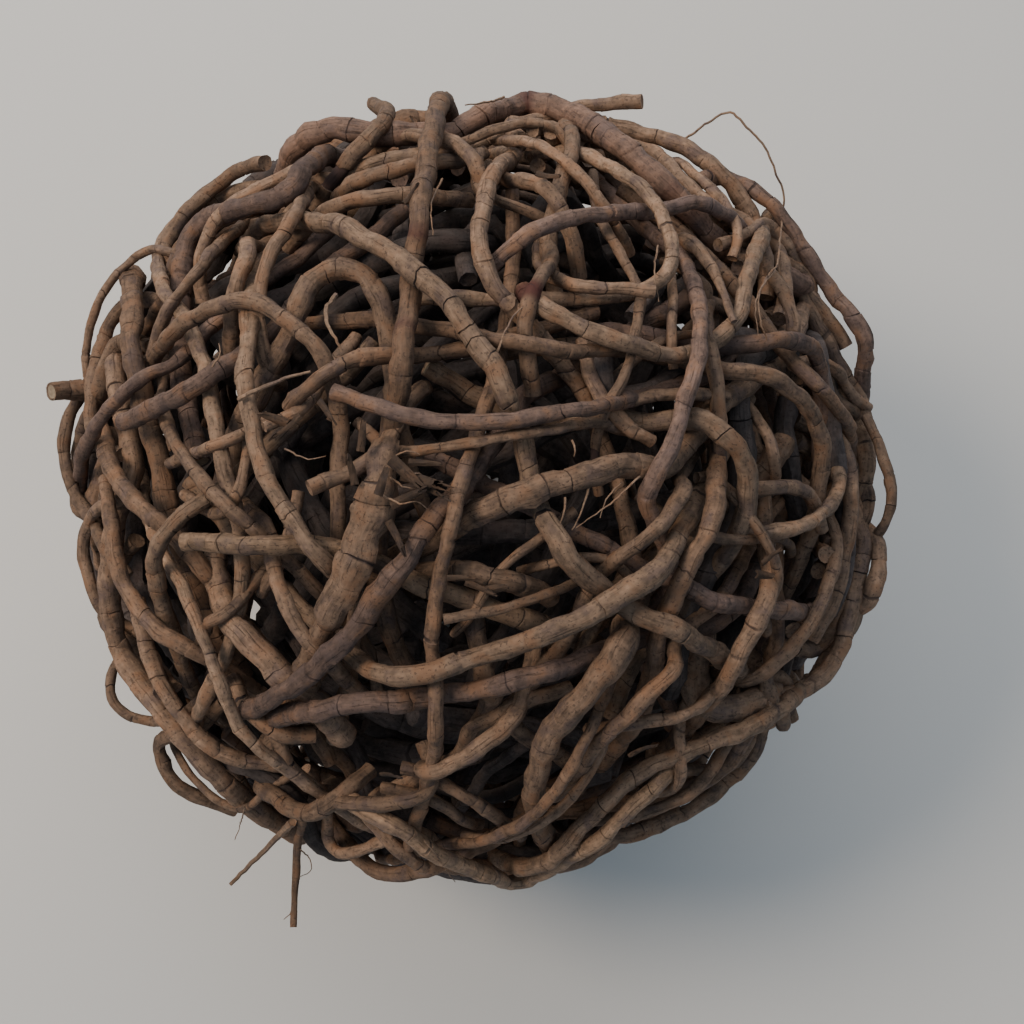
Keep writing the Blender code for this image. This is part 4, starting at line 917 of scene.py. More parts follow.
def bark_relief(along, angle, crack_of, cracks, rough):
    """How far each corner stands out and slides along, how bare it is, and how dark its crack: core
    and painted shade.
    """
    rings = len(along)
    relief = np.zeros((rings, len(angle)))
    for wavelength, share in WANDER:
        relief += rough * share * wave(along, wavelength)[:, None]
    for number, share in RIDGES:
        drift = rng.uniform(-RIDGE_TWIST, RIDGE_TWIST) * along
        drift = drift + RIDGE_SWAY * wave(along, RIDGE_WAVE)
        winding = number * angle + drift[:, None] + rng.uniform(0, FULL_TURN)
        relief += rough * share * np.cos(winding)
    relief += rng.normal(0, FINE_RELIEF, relief.shape)
    for _ in range(rng.poisson(along[-1] / SCAR_GAP)):
        near = (along - rng.uniform(0, along[-1]))[:, None] / SCAR_LENGTH
        turn = np.angle(np.exp(1j * (angle - rng.uniform(0, FULL_TURN)))) / SCAR_TURN
        relief += rng.uniform(*SCAR_HEIGHT) * np.exp(-near ** 2 - turn ** 2)
    girths = rng.normal(0, GIRTH_SPREAD, len(cracks) + 1)
    slide = np.zeros_like(relief)
    crack_shade = np.zeros_like(relief)
    bare = np.zeros(rings)
    centre = np.searchsorted([place for place, _, _ in cracks], along)
    relief += girths[centre][:, None]
    dropped = rng.uniform(size=len(cracks) + 1) < BARE_SHARE
    for number, (place, half, depth) in enumerate(cracks):
        own = np.nonzero(crack_of == number)[0]
        around = np.cos(angle - rng.uniform(0, 2 * math.pi)) + rng.uniform(*CRACK_AROUND)
        open_here = np.clip((around + CRACK_REACH) / CRACK_EDGE, 0, 1)
        floor = own[1:-1]
        # The crack floor is painted dark: its darker core, and painted shade of a crack deeper than
        # the mesh.
        crack_shade[floor] = open_here * rng.uniform(*CRACK_DARKNESS)
        relief[floor] -= depth * open_here
        relief[own[[0, -1]]] += LIP_RISE
        slant = rng.normal(0, SLANT) * np.cos(angle - rng.uniform(0, FULL_TURN))
        bowed = rng.normal(0, BOW) * np.cos(2 * angle - rng.uniform(0, FULL_TURN))
        slide[own] = slant + bowed + rng.normal(0, JAGGED, len(angle))
        gap = along[own[0]] - (cracks[number - 1][0] if number else 0.0)
        if dropped[number] and number and BARE_GAPS[0] < gap < BARE_GAPS[1]:
            last = np.nonzero(crack_of == number - 1)[0]
            inside = slice(last[1], own[2])
            bare[inside] = 1.0
            relief[inside] = relief[inside] * BARE_RELIEF - BARE_DEPTH
            crack_shade[inside] *= BARE_CRACKS
    return relief, slide, crack_shade, bare


# %% One dressed root
NUMBERS = ("crack_shade", "bare", "tone", "stained")    # what the bark finish reads at each corner
STAIN_SPOTS = (         # dark red stains on the show face: right, up and radius
    (11, 76.5, 2.6), (-11, 50, 2.0), (11.8, 38.5, 2.4), (-43, -31, 1.5), (57, -30, 2),
    (-12, 31, 1.5),
)
LONG_STAIN = ((34, 70, 4), (38, 66, 5), (42, 61.5, 5), (45, 57, 4))     # on the stained root only
STAINED_ROOT = "dressed_red_root"
STAIN_EDGE = 1.5        # width over which a stain fades
CUT_SIZE = 0.22         # width of the bark rim at a cut end, as a share of the radius
CUT_DEPTH = 0.15        # how far the wood inside the rim is set back
COURSE_STEP = 0.5       # spacing of the points of a smooth course
SMOOTH_BELOW = math.radians(50)     # faces that meet at less than this look like one
ANYWHERE = 500          # each root reads another part of the bark's pattern, up to this far off


def stored(mesh, name, kind, values):
    """Keep a number or a vector for each corner of the mesh."""
    mesh.attributes.new(name, kind, "POINT").data.foreach_set(
        "vector" if kind == "FLOAT_VECTOR" else "value", np.asarray(values, np.float32).ravel())


def put_corners(mesh, corners):
    """Move the corners of a mesh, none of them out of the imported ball's box."""
    mesh.vertices.foreach_set("co", np.clip(corners, cad_low, cad_high).ravel())


def straightened(middles, radii, sides):
    """Where each corner would lie on the root laid straight, in millimetres."""
    angle = 2 * math.pi * np.arange(sides) / sides
    return np.stack([np.outer(radii, np.cos(angle)), np.outer(radii, np.sin(angle)),
                     np.repeat(middles[:, None], sides, axis=1)], axis=2)


def stain_on(name, points):
    """How stained a root is at each of its points."""
    flat, _ = seen(points)
    share = np.zeros(len(points))
    for right, up, radius in STAIN_SPOTS + (LONG_STAIN if name == STAINED_ROOT else ()):
        inside = radius - np.linalg.norm(flat - (right, up), axis=1)
        share = np.maximum(share, np.clip(inside / STAIN_EDGE, 0, 1))
    return share * (np.linalg.norm(points, axis=1) > SKIN - 2 * LAYER) * (points @ FACE_OUT > 0)


def dressed_root(name, points, sizes, sides, step, tone, crack_scale=1.0, rough=1.0):
    """A root with cracks across its bark, along a course of points, given about the ball's middle.
    """
    course, along = smooth_line(np.column_stack([points, sizes]), COURSE_STEP)
    cracks = crack_plan(along[-1], crack_scale)
    marks, crack_of = stations(along[-1], cracks, step)
    rings = np.stack([np.interp(marks, along, column) for column in course.T], axis=1)
    for wavelength, share in SWAY:
        sway = np.stack([wave(marks, wavelength) for _ in range(3)], axis=1)
        rings[:, :3] += share * sway * rings[:, 3:]
    piece = tube(name, rings[:, :3], rings[:, 3], sides)
    mesh = piece.data
    corners = corners_of(mesh).reshape(len(rings), sides, 3)
    angle = 2 * math.pi * np.arange(sides) / sides
    relief, slide, crack_shade, bare = bark_relief(marks, angle, crack_of, cracks, rough)
    spokes = corners - rings[:, None, :3]
    ahead = unit(np.gradient(rings[:, :3], axis=0))
    corners = corners + spokes * relief[:, :, None] + ahead[:, None] * slide[:, :, None]
    put_corners(mesh, (corners + MIDDLE) * MM)
    laid = straightened(marks, rings[:, 3], sides) + rng.uniform(-ANYWHERE, ANYWHERE, 3)
    stored(mesh, "laid_straight", "FLOAT_VECTOR", laid)
    for key, values in zip(NUMBERS, (crack_shade, np.repeat(bare, sides), np.full(crack_shade.shape, tone),
                                     np.repeat(stain_on(name, rings[:, :3]), sides))):
        stored(mesh, key, "FLOAT", values)
    close_ends(piece, rings[:, 3].mean())
    return piece


def close_ends(piece, radius):
    """Fill both ends, and set the wood inside the bark rim a little back."""
    bpy.ops.object.mode_set(mode="EDIT")
    bpy.ops.mesh.select_all(action="SELECT")
    bpy.ops.mesh.fill_holes(sides=0)
    bpy.ops.object.mode_set(mode="OBJECT")
    mesh = piece.data
    ends = [face.index for face in mesh.polygons if len(face.vertices) > 4]
    chosen = np.zeros(len(mesh.polygons), bool)
    chosen[ends] = True
    mesh.polygons.foreach_set("select", chosen)
    mesh.materials.clear()
    mesh.materials.append(None)
    mesh.materials.append(None)
    bpy.ops.object.mode_set(mode="EDIT")
    bpy.ops.mesh.select_mode(type="FACE")
    bpy.ops.mesh.inset(thickness=radius * CUT_SIZE * MM, depth=-CUT_DEPTH * MM)
    bpy.ops.object.mode_set(mode="OBJECT")
    put_corners(mesh, corners_of(mesh))
    for face in mesh.polygons:
        face.material_index = int(len(face.vertices) > 4)
    bpy.ops.object.shade_smooth_by_angle(angle=SMOOTH_BELOW)


def plain_root(name, points, sizes, sides, tone):
    """A thin root without bark or cracks."""
    piece = tube(name, points, sizes, sides)
    mesh = piece.data
    put_corners(mesh, (corners_of(mesh) + MIDDLE) * MM)
    steps = np.linalg.norm(np.diff(points, axis=0), axis=1)
    laid = straightened(np.concatenate([[0.0], np.cumsum(steps)]), sizes, sides)
    laid = laid + rng.uniform(-ANYWHERE, ANYWHERE, 3)
    stored(mesh, "laid_straight", "FLOAT_VECTOR", laid)
    stored(mesh, "tone", "FLOAT", np.full(len(mesh.vertices), tone))
    close_ends(piece, sizes.mean())
    return piece


# %% [markdown]
# ## The finish of the bark
#
# Dry root bark is matt and grey-brown, with fine fibres along the root and patches where the outer
# skin has rubbed off and left it redder. Its cracks are painted near black: partly the dark core
# they lay bare, partly painted shade of a crack deeper than the mesh. The fibres follow the
# root because their pattern reads the stored position on the root laid straight, squeezed along
# its length.

# %% Helpers for finishes
def wired(tree, kind, label, **inputs):
    """A new node with its inputs set, or linked where a socket is given."""
    node = tree.nodes.new(kind)
    node.label = label
    for key, value in inputs.items():
        socket = node.inputs[key]
        if isinstance(value, bpy.types.NodeSocket):
            tree.links.new(value, socket)
        else:
            socket.default_value = value
    return node


def stored_number(tree, name, socket="Fac"):
    """What was stored under this name at the corners of the mesh."""
    node = tree.nodes.new("ShaderNodeAttribute")
    node.attribute_name = name
    return node.outputs[socket]


def noise(tree, label, place, scale, detail, roughness):
    """A cloudy pattern from nought to one."""
    return wired(tree, "ShaderNodeTexNoise", label, Vector=place, Scale=scale, Detail=detail,
                 Roughness=roughness).outputs["Fac"]


def blended(tree, label, share, first, second):
    """Colour that goes from the first to the second with the share."""
    node = tree.nodes.new("ShaderNodeMix")
    node.label = label
    node.data_type = "RGBA"
    for place, value in ((0, share), (6, first), (7, second)):
        if isinstance(value, bpy.types.NodeSocket):
            tree.links.new(value, node.inputs[place])
        else:
            node.inputs[place].default_value = value
    return node.outputs[2]


def ranged(tree, label, value, low, high, to_low, to_high):
    """The value mapped from one range to another, and held inside it."""
    node = wired(tree, "ShaderNodeMapRange", label, Value=value)
    for key, number in (("From Min", low), ("From Max", high), ("To Min", to_low),
                        ("To Max", to_high)):
        node.inputs[key].default_value = number
    return node.outputs["Result"]


# %% Bark finish
FIBRE_SQUEEZE = 0.12    # how much the fibres are drawn out along the root
FISSURE_SQUEEZE = 0.05  # the same for the fissures between them
DEEPEST, USUAL, PALEST = 0.34, 0.84, 1.36       # shares of the finish's own colour
RAMP_FROM, RAMP_TO = 0.38, 0.62         # where the pattern is deepest and palest
DARKEST_TONE, PALEST_TONE = 0.35, 1.40  # what a root's tone of nought and of one do to its colour
RUBBED = (0.19, 0.095, 0.050, 1.0)      # skin rubbed off
WEATHERED = (0.105, 0.072, 0.066, 1.0)  # skin gone grey
FISSURE = (0.040, 0.025, 0.021, 1.0)
STAIN = (0.060, 0.018, 0.014, 1.0)      # where a root has taken up a dark red stain
CORE = (0.058, 0.034, 0.030, 1.0)       # core where a piece of bark has dropped off
# Colour of a crack floor: the darker core with painted shade on top.
CRACK_SHADE = (0.026, 0.018, 0.018, 1.0)


def bark_finish(name, colour, rubbed, roughness):
    """Dry bark round the given colour; rubbed is how much of it is worn red."""
    material = bpy.data.materials.new(name)
    material.use_nodes = True
    tree = material.node_tree
    shader = tree.nodes["Principled BSDF"]
    laid = stored_number(tree, "laid_straight", "Vector")
    drawn = wired(tree, "ShaderNodeMapping", "drawn out along the root", Vector=laid,
                  Scale=(1, 1, FIBRE_SQUEEZE)).outputs["Vector"]
    drawn_further = wired(tree, "ShaderNodeMapping", "drawn out further", Vector=laid,
                          Scale=(1, 1, FISSURE_SQUEEZE)).outputs["Vector"]
    place = tree.nodes.new("ShaderNodeTexCoord").outputs["Object"]
    fibres = noise(tree, "fibres", drawn, 1.5, 4.0, 0.65)
    fissures = noise(tree, "fissures", drawn_further, 2.6, 3.0, 0.7)
    patches = noise(tree, "patches", laid, 0.22, 3.0, 0.6)
    blotches = noise(tree, "blotches", place, 420.0, 2.0, 0.6)
    specks = noise(tree, "specks", place, 1100.0, 2.0, 0.6)
    dotted = noise(tree, "dots", place, 2100.0, 1.0, 0.5)
    mixed = blended(tree, "fibres and specks", 0.4, fibres, specks)
    mixed = blended(tree, "with blotches", 0.35, mixed, blotches)
    mixed = blended(tree, "with patches", 0.25, mixed, patches)
    ramp = wired(tree, "ShaderNodeValToRGB", "from deepest to palest", Fac=mixed)
    stops = ramp.color_ramp.elements
    stops[0].position, stops[1].position = RAMP_FROM, RAMP_TO
    stops[0].color = (*(DEEPEST * colour), 1.0)
    stops[1].color = (*(PALEST * colour), 1.0)
    stops.new((RAMP_FROM + RAMP_TO) / 2).color = (*(USUAL * colour), 1.0)
    shift = ranged(tree, "rubbed", patches, 0.52, 0.66, 0.0, rubbed)
    bark = blended(tree, "rubbed patches", shift, ramp.outputs["Color"], RUBBED)
    greyed = ranged(tree, "greyed", patches, 0.46, 0.34, 0.0, 0.5)
    bark = blended(tree, "weathered patches", greyed, bark, WEATHERED)
    opened = ranged(tree, "opened", fissures, 0.60, 0.72, 0.0, 0.4)
    bark = blended(tree, "fissures", opened, bark, FISSURE)
    dots = ranged(tree, "dark dots", dotted, 0.61, 0.68, 0.0, 0.55)
    bark = blended(tree, "dots", dots, bark, FISSURE)
    tone = ranged(tree, "tone", stored_number(tree, "tone"), 0, 1, DARKEST_TONE, PALEST_TONE)
    bark = wired(tree, "ShaderNodeHueSaturation", "tone of this root", Color=bark,
                 Value=tone).outputs["Color"]
    # Crack floors are painted near black: partly the darker core, partly painted shade.
    for label, cover in (("stained", STAIN), ("bare", CORE), ("crack_shade", CRACK_SHADE)):
        bark = blended(tree, label, stored_number(tree, label), bark, cover)
    tree.links.new(bark, shader.inputs["Base Color"])
    dull = ranged(tree, "dullness", fibres, 0.3, 0.7, roughness - 0.1, roughness + 0.06)
    tree.links.new(dull, shader.inputs["Roughness"])
    shader.inputs["Specular IOR Level"].default_value = 0.3
    height = wired(tree, "ShaderNodeMath", "relief with fissures", Value=mixed)
    height.operation = "SUBTRACT"
    tree.links.new(opened, height.inputs[1])
    relief = wired(tree, "ShaderNodeBump", "fine relief", Height=height.outputs["Value"],
                   Strength=0.9, Distance=0.5 * MM)
    tree.links.new(relief.outputs["Normal"], shader.inputs["Normal"])
    return material


# %% Finish of the cut ends
DARK_WOOD, PALE_WOOD = (0.10, 0.065, 0.042, 1.0), (0.36, 0.27, 0.18, 1.0)


def cut_finish():
    """Pale wood with darker specks where a root is cut across."""
    material = bpy.data.materials.new("cut_wood")
    material.use_nodes = True
    tree = material.node_tree
    shader = tree.nodes["Principled BSDF"]
    place = tree.nodes.new("ShaderNodeTexCoord").outputs["Object"]
    pores = noise(tree, "pores", place, 1600.0, 2.0, 0.5)
    colour = blended(tree, "wood", pores, DARK_WOOD, PALE_WOOD)
    tree.links.new(colour, shader.inputs["Base Color"])
    shader.inputs["Roughness"].default_value = 0.85
    relief = wired(tree, "ShaderNodeBump", "pores", Height=pores, Strength=0.5,
                   Distance=0.2 * MM)
    tree.links.new(relief.outputs["Normal"], shader.inputs["Normal"])
    return material


# %% [markdown]
# The record gives each material a plain colour. Some of them stand for a root with more light and
# shade than one colour can say, so they get their own here. The loose roots inside get a bark of
# their own, greyer and a little darker: painted shade, the look of bark deep in the ball's shade.

# %% One finish for each material, and a painted shade finish for the inside
WARMTH = np.array([1.10, 1.02, 0.96])   # dry bark in lamplight looks a little warmer
OWN_COLOURS = {"red_wood": (0.15, 0.095, 0.072), "pale_wood": (0.215, 0.145, 0.096),
               "dark_bark": (0.132, 0.090, 0.074), "light_bark": (0.205, 0.142, 0.100)}
# Bark of the loose roots inside, greyer and darker than the rest: painted shade.
PAINTED_SHADE_COLOUR = np.array([0.112, 0.087, 0.080])
WORN = {True: (0.2, 0.75), False: (0.7, 0.88)}      # wear and roughness: bare wood, then bark
PAINTED_SHADE_WORN = (0.15, 0.92)

finishes = {}
for entry in record["materials"]:
    slot = entry["slot"]
    colour = WARMTH * OWN_COLOURS.get(slot, entry["base_color"])
    finishes[slot] = bark_finish(slot, colour, *WORN[slot.endswith("wood")])
painted_shade_finish = bark_finish("painted_shade_bark", PAINTED_SHADE_COLOUR, *PAINTED_SHADE_WORN)
cut_wood = cut_finish()
print("finishes:", ", ".join(finishes), "and one for the inside")

# %% [markdown]
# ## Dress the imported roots
#
# Each packed root gets a dressed one in its place, along the same course and of the same girth.
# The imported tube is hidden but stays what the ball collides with.

# %% Finish a piece, or several as one
def finish_piece(piece, slot):
    """Materials and body of a finished piece; the slot chooses its bark finish, unless it is the
    inner roots.
    """
    # The loose roots inside get the painted shade finish.
    shaded = piece.name == "inner_roots"
    piece.data.materials[0] = painted_shade_finish if shaded else finishes[slot]
    piece.data.materials[1] = cut_wood
    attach(piece, "root")


def joined(members, name, slot):
    """One piece made of several, with its finish and body."""
    bpy.ops.object.select_all(action="DESELECT")
    for member in members:
        member.select_set(True)
    bpy.context.view_layer.objects.active = members[0]
    bpy.ops.object.join()
    piece = bpy.context.active_object
    piece.name = name
    finish_piece(piece, slot)
    return piece


# %% Dress the sixty main roots
SIDES, HIDDEN_SIDES = 12, 10    # corners round a main root, in front and on the hidden side
STEP = 1.1              # longest stretch of bark without a ring
MAIN_TONES = (0.4, 0.9)         # darkest and palest
ROUGHER = {             # roots with lumpier bark
    "knotty_root": 2.4, "bulb_root": 2.0, "hook_root": 1.5, "knob_root": 1.6, "long_chord": 1.2,
    "thick_arm": 1.3,
}

for line, name in zip(lines, frame["nodes"]):
    sides = HIDDEN_SIDES if name.startswith(("back_root", "rest_root")) else SIDES
    piece = dressed_root(f"dressed_{name}", line["points"], line["radii"], sides, STEP,
                         rng.uniform(*MAIN_TONES), rough=ROUGHER.get(name, 1.0))
    finish_piece(piece, slot_of[name])
    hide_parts(name)
print(f"{len(frame['nodes'])} main roots dressed")

# %% [markdown]
# ## The roots between them
#
# The second roots of one part of the face make one piece, because nobody will want to move a
# single one. The roots inside the ball are hardly seen, so they get fewer corners.

# %% Make the other roots
PLAINNESS = {       # corners round, longest stretch without a ring, spacing of the cracks, slot
    "hidden_roots": (10, 1.3, 1.15, "brown_bark"),
    "under_roots": (8, 1.8, 1.5, "dark_bark"),
    "inner_roots": (8, 2.6, 2.4, "dark_bark"),
}
SECOND_PLAINNESS = (SIDES, STEP, 1.0, "grey_bark")
# The under roots take the dark bark, and the under and inner roots darker tones than the roots on
# top: painted shade of lying deep in the ball.
SHADE_DARKENED_TONES = {"under_roots": (0.15, 0.5), "inner_roots": (0.1, 0.5)}    # darkest and palest of a group
SECOND_TONES = (0.35, 0.9)

for group in dict.fromkeys(line["group"] for line in lines if line["weight"] < FIXED):
    sides, step, spacing, slot = PLAINNESS.get(group, SECOND_PLAINNESS)
    members = []
    for line in lines:
        if line["group"] == group:
            tone = rng.uniform(*SHADE_DARKENED_TONES.get(group, SECOND_TONES))
            members.append(dressed_root(group, line["points"], line["radii"], sides, step, tone,
                                        spacing))
    piece = joined(members, group, slot)
    print(f"{group}: {len(members)} roots, {len(piece.data.polygons)} faces")

# %% [markdown]
# ## Rootlets
#
# Between the thick roots hang the finest ones, which never got bark: hairs less than a millimetre
# thick that curl where they like. Two twigs hang out below, and one long hair arches off the top.
# They are plain tubes that get thinner, because a crack can't be seen on them.

# %% Courses of the rootlets
ROOTLETS = (            # thickness, and sighted points: right, up and layers down
    (0.8, ((-26, 38, 0.4), (-28, 35, 0.1), (-27.5, 32, 0), (-26.2, 29.5, 0.1), (-25, 27, 0.5))),
    (0.8, ((-45, 17.5, -0.3), (-42, 19.2, -0.35), (-39, 20.5, -0.35), (-35, 22, -0.3),
           (-31, 23, -0.2))),
    (0.5, ((40.8, 67.6, 0.2), (43.7, 69.6, 0), (47, 71.9, 0), (50.5, 73.4, 0), (53.8, 70.5, 0),
           (57.3, 66.6, 0), (59.6, 61.2, 0), (61, 57.3, 0), (60.6, 52.5, -0.3),
           (60.2, 48.2, -0.3), (59.5, 43.3, -0.3), (56.7, 39.4, -0.3), (56.1, 35.9, -0.2),
           (56.7, 32.1, 0), (57.7, 29.1, 0.4))),
    (0.35, ((59.5, 43.3, -0.3), (57.5, 41, -0.3), (55.5, 36, -0.1), (56, 30, 0.4))),
    (1.5, ((-34.5, -64.5, 0.6), (-36.9, -67, 0.2), (-41.8, -71.9, 0), (-46.6, -76.7, 0))),
    (0.35, ((-43.7, -61.6, 0.2), (-44.7, -65.1, 0), (-45.7, -68, 0))),
    (0.3, ((-33, -69.9, 0), (-31.1, -71.9, 0), (-31.1, -74.2, 0), (-33, -75.2, 0))),
    (0.3, ((-34.4, -81.0, 0), (-35.0, -82.3, 0), (-36.2, -83.5, 0))),
    (0.35, ((19.8, 9.7, 0.6), (20.4, 7.8, 0.5), (20.2, 6.5, 0.8))),
    (0.4, ((23.3, 1, 0.8), (22.2, -2.4, 0.5), (21.4, -5.2, 0.5), (19.8, -7.8, 0.9))),
    (0.35, ((33, 2.6, 0.6), (28.2, -1.9, 0.4), (24.5, -4.6, 0.4), (20.6, -7.4, 0.8))),
    (0.4, ((18.5, -1.5, 0.8), (18.2, -4.2, 0.5), (17.3, -7, 0.9))),
    (0.3, ((29.5, 1.5, 0.7), (26.5, -1.8, 0.4), (25.3, -5.4, 0.8))),
    (0.4, ((5, 26, 0.8), (6.5, 30, 0.6), (9, 34.5, 0.5), (11, 36, 0.6))),
    (0.35, ((-50, 24, 0), (-48.6, 26.3, -0.2), (-48.8, 28.5, -0.2))),
    (0.4, ((-16, 5, 0.2), (-13.5, 3.4, -0.2), (-10, 3.2, -0.1), (-7.5, 1.8, 0.5))),
    (0.3, ((-15.5, 2.4, 0.1), (-12.2, 0.4, -0.2), (-8.6, 0.4, 0.3))),
    (0.35, ((-17, -1, 0.1), (-13.6, -2.6, -0.2), (-10.5, -2.2, 0), (-8.4, -3.6, 0.4))),
    (0.3, ((-14.5, 6.6, 0.2), (-12.4, 7.6, -0.1), (-9.8, 6.9, 0.1))),
    (0.5, ((6.6, 76.4, 0), (3.5, 75.4, -0.1), (-1, 74.8, 0.1))),
    (0.3, ((-9, -68, 0.4), (-6.5, -71, 0), (-4.2, -74.5, 0), (-2.9, -76.2, 0))),
    (0.35, ((36.5, 47.5, 0.6), (35.8, 42, 0.1), (36.7, 36.6, 0.4))),
    (0.3, ((-36, 8, 0.7), (-31.5, 6, 0.4), (-28, 6.6, 0.7))),
    (0.35, ((-5.4, 60.5, 0.8), (-7.6, 55.2, 0.4), (-7.2, 49.5, 0.6))),
)
ROOTLET_END = 0.45      # share of a rootlet's thickness that is left at its end
ROOTLET_STEP = 0.9      # spacing of its rings
ROOTLET_WOBBLE = 0.06   # spread of its small bends
ROOTLET_TONE = 0.7
HAIR_SIDES = 6

# %% Make the rootlets
members = []
for thickness, course in ROOTLETS:
    laid = np.array([sighted(right, up, layers, thickness) for right, up, layers in course])
    laid, _ = smooth_line(laid, ROOTLET_STEP)
    laid[1:-1] += rng.normal(0, ROOTLET_WOBBLE, laid[1:-1].shape)
    sizes = thickness / 2 * np.linspace(1.0, ROOTLET_END, len(laid))
    members.append(plain_root("rootlet", laid, sizes, HAIR_SIDES, ROOTLET_TONE))
piece = joined(members, "rootlets", "light_bark")
print(f"rootlets: {len(members)}, {len(piece.data.polygons)} faces")

# %% [markdown]
# ## Torn bark
#
# Where a thick root was bent too far its bark has burst and stands up in flakes. A flake is a
# small grid, bowed across like the root it came from, curled along, frayed at its end and given
# a little thickness.

# %% Make the flakes
FLAKES = (              # right, up, layers, length, width, turn of its length in degrees
    (-15.5, 6.0, -0.2, 6.0, 1.8, -40), (-13.5, 3.0, -0.1, 7.0, 1.7, -15),
    (-14.0, 0.0, -0.1, 6.5, 1.4, 10), (-15.5, -3.0, -0.1, 5.5, 1.4, 25),
    (-16.0, -6.0, 0.0, 5.0, 1.2, -60), (-21.5, 7.5, -0.2, 4.5, 1.3, 80),
    (-12.0, 5.5, 0.1, 4.5, 1.0, -5), (-11.0, 1.5, 0.1, 5.0, 0.9, -25),
    (-22.5, 1.0, -0.3, 4.0, 1.2, 100), (-18.0, -1.0, -0.5, 4.2, 1.4, 70),
    (-1.0, -18.0, 0.1, 4.0, 1.0, -20), (3.0, -19.8, 0.1, 3.4, 1.4, 15),
    (-4.5, -17.2, 0.2, 3.8, 0.9, 5), (-29.5, 17.5, 0.2, 4.6, 1.0, -50),
    (-33.0, 14.5, 0.2, 4.8, 0.9, -140), (-35.5, 13.0, 0.3, 4.2, 1.5, 160),
    (57.0, -14.5, 0.1, 3.6, 1.0, 30), (56.0, -16.5, 0.1, 3.0, 1.4, -10),
    (-13.0, 56.0, 0.1, 3.6, 0.9, 60), (31.0, -52.0, 0.6, 4.4, 1.1, 40),
    (-17.5, -55.5, 0.3, 3.6, 0.9, 20), (13.0, 62.0, 0.4, 3.8, 1.5, -35),
)
FLAKE_THICKNESS = 0.3
NARROWING = 0.45        # share of its width that a flake loses towards its end
FRAYED = 0.12           # spread of its ragged end, as a share of its length
LIFTED = 0.28           # how far that end stands off, as a share of its length
BOWED = 1.1             # how much it keeps of the root's roundness
UNEVEN = 0.06           # spread of its small dents


def flake(length, width, origin, ahead, outward):
    """A curled chip of bark that lifts off at its far end."""
    bpy.ops.mesh.primitive_grid_add(x_subdivisions=7, y_subdivisions=5, size=1.0)
    piece = bpy.context.active_object
    mesh = piece.data
    flat = corners_of(mesh)
    along = flat[:, 0] + 0.5
    across = flat[:, 1] * width * (1 - NARROWING * along ** 2)
    frayed = along * length + (along > 0.95) * rng.normal(0, FRAYED * length, len(along))
    lifted = LIFTED * length * along ** 2 - BOWED * flat[:, 1] ** 2 * width
    lifted = lifted + rng.normal(0, UNEVEN, len(along))
    side = np.cross(outward, ahead)
    places = origin + frayed[:, None] * ahead + across[:, None] * side + lifted[:, None] * outward
    spare = FLAKE_THICKNESS * MM
    places = np.clip((places + MIDDLE) * MM, np.array(cad_low) + spare, np.array(cad_high) - spare)
    mesh.vertices.foreach_set("co", places.ravel())
    mesh.materials.clear()
    mesh.materials.append(None)
    mesh.materials.append(None)
    thick = piece.modifiers.new("thickness", "SOLIDIFY")
    thick.thickness = FLAKE_THICKNESS * MM
    bpy.ops.object.modifier_apply(modifier=thick.name)
    laid = np.stack([across, lifted, frayed], axis=1)
    laid = np.resize(laid + rng.uniform(-ANYWHERE, ANYWHERE, 3), (len(mesh.vertices), 3))
    stored(mesh, "laid_straight", "FLOAT_VECTOR", laid)
    bpy.ops.object.shade_smooth_by_angle(angle=SMOOTH_BELOW)
    return piece


members = []
for right, up, layers, length, width, turn in FLAKES:
    origin = sighted(right, up, layers, FLAKE_THICKNESS)
    outward = unit(origin)
    turn = math.radians(turn)
    ahead = math.cos(turn) * FACE_RIGHT + math.sin(turn) * FACE_UP
    ahead = unit(ahead - (ahead @ outward) * outward)
    members.append(flake(length, width, origin, ahead, outward))
piece = joined(members, "bark_flakes", "brown_bark")
print(f"flakes: {len(members)}, {len(piece.data.polygons)} faces")

# %% [markdown]
# ## Camera
#
# The camera looks down on the ball along the show face's own direction. A small shift of the lens
# puts the ball a little left of the middle and above it, without turning the view.

# %% Place the camera
LENS = 49.2             # focal length on a sensor 36 mm wide
SHIFT = (0.041, -0.0215)        # lens shift to the side and up, as shares of the frame's width

camera_data = bpy.data.cameras.new("camera")
camera_data.lens = LENS
camera_data.sensor_width = 36.0
camera_data.shift_x, camera_data.shift_y = SHIFT
camera = bpy.data.objects.new("camera", camera_data)
bpy.context.scene.collection.objects.link(camera)
camera.location = (MIDDLE + SIGHT_DISTANCE * FACE_OUT) * MM
camera.rotation_euler = (FACE_TILT, 0.0, 0.0)
bpy.context.scene.camera = camera
print("camera at", tuple(round(value, 3) for value in camera.location))

# %% [markdown]
# ## Table and light
#
# A pale table top, a soft warm lamp from the upper left, a wide dim window behind, and a cool
# room around: that gives the soft bluish shadow on the right and keeps the hollows dark.

# %% The table
TABLE_COLOUR = (0.575, 0.55, 0.52, 1.0)
TABLE_GAP = 0.05        # air under the ball, so that the two never share a plane

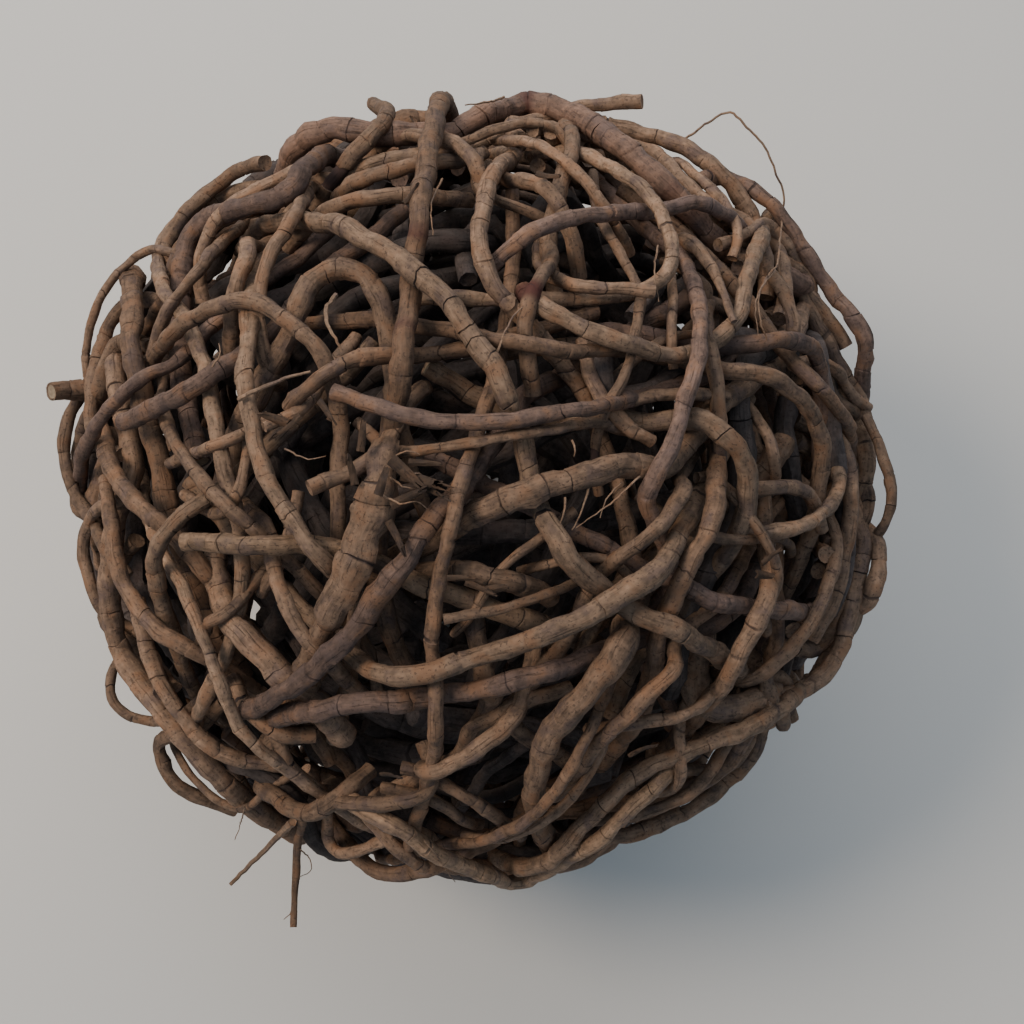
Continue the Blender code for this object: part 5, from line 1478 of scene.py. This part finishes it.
bpy.ops.mesh.primitive_plane_add(size=4.0, location=(0, 0, -TABLE_GAP * MM))
table = bpy.context.active_object
table.name = "table"
top = bpy.data.materials.new("pale_table")
top.use_nodes = True
shader = top.node_tree.nodes["Principled BSDF"]
shader.inputs["Base Color"].default_value = TABLE_COLOUR
shader.inputs["Roughness"].default_value = 0.8
table.data.materials.append(top)
table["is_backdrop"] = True

# %% The lamps and the room's own light
LAMPS = {               # direction from the ball, distance and size in metres, watts, colour
    "lamp": ((-0.565, 0.10, 0.819), 0.88, 0.3, 5.75, (1.0, 0.855, 0.69)),
    "window": ((-0.12, 0.82, 0.56), 0.65, 0.95, 4.0, (1.0, 0.97, 0.93)),
}
SKY_COLOUR = (0.68, 0.835, 1.0, 1.0)
SKY_DIM, SKY_BRIGHT = 0.20, 0.68        # strength at the horizon and overhead


def soft_lamp(name, direction, distance, size, power, colour):
    """A round lamp that looks at the ball from a direction."""
    aim = unit(np.array(direction))
    turn = (math.acos(aim[2]), 0.0, math.atan2(aim[1], aim[0]) + math.pi / 2)
    bpy.ops.object.light_add(type="AREA", location=MIDDLE * MM + aim * distance, rotation=turn)
    lamp = bpy.context.active_object
    lamp.name = name
    lamp.data.shape = "DISK"
    lamp.data.size = size
    lamp.data.energy = power
    lamp.data.color = colour


for name, settings in LAMPS.items():
    soft_lamp(name, *settings)

room = bpy.data.worlds.new("room")
room.use_nodes = True
tree = room.node_tree
sky = tree.nodes["Background"]
sky.inputs["Color"].default_value = SKY_COLOUR
towards = tree.nodes.new("ShaderNodeTexCoord").outputs["Generated"]
height = wired(tree, "ShaderNodeSeparateXYZ", "height", Vector=towards).outputs["Z"]
strength = ranged(tree, "brighter overhead", height, 0, 1, SKY_DIM, SKY_BRIGHT)
tree.links.new(strength, sky.inputs["Strength"])
bpy.context.scene.world = room

# %% Count the triangles, and gather the boxes of the imported and the dressed ball
triangles = sum(len(face.vertices) - 2 for piece in bpy.context.scene.objects
                if piece.type == "MESH" and not piece.hide_render for face in piece.data.polygons)
print(f"{triangles} triangles in sight")
dressed_low, dressed_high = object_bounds()
sizes = {"cad": [list(cad_low), list(cad_high)],
         "visual": [list(dressed_low), list(dressed_high)]}
print("visual box", [tuple(round(value, 4) for value in corner) for corner in sizes["visual"]])
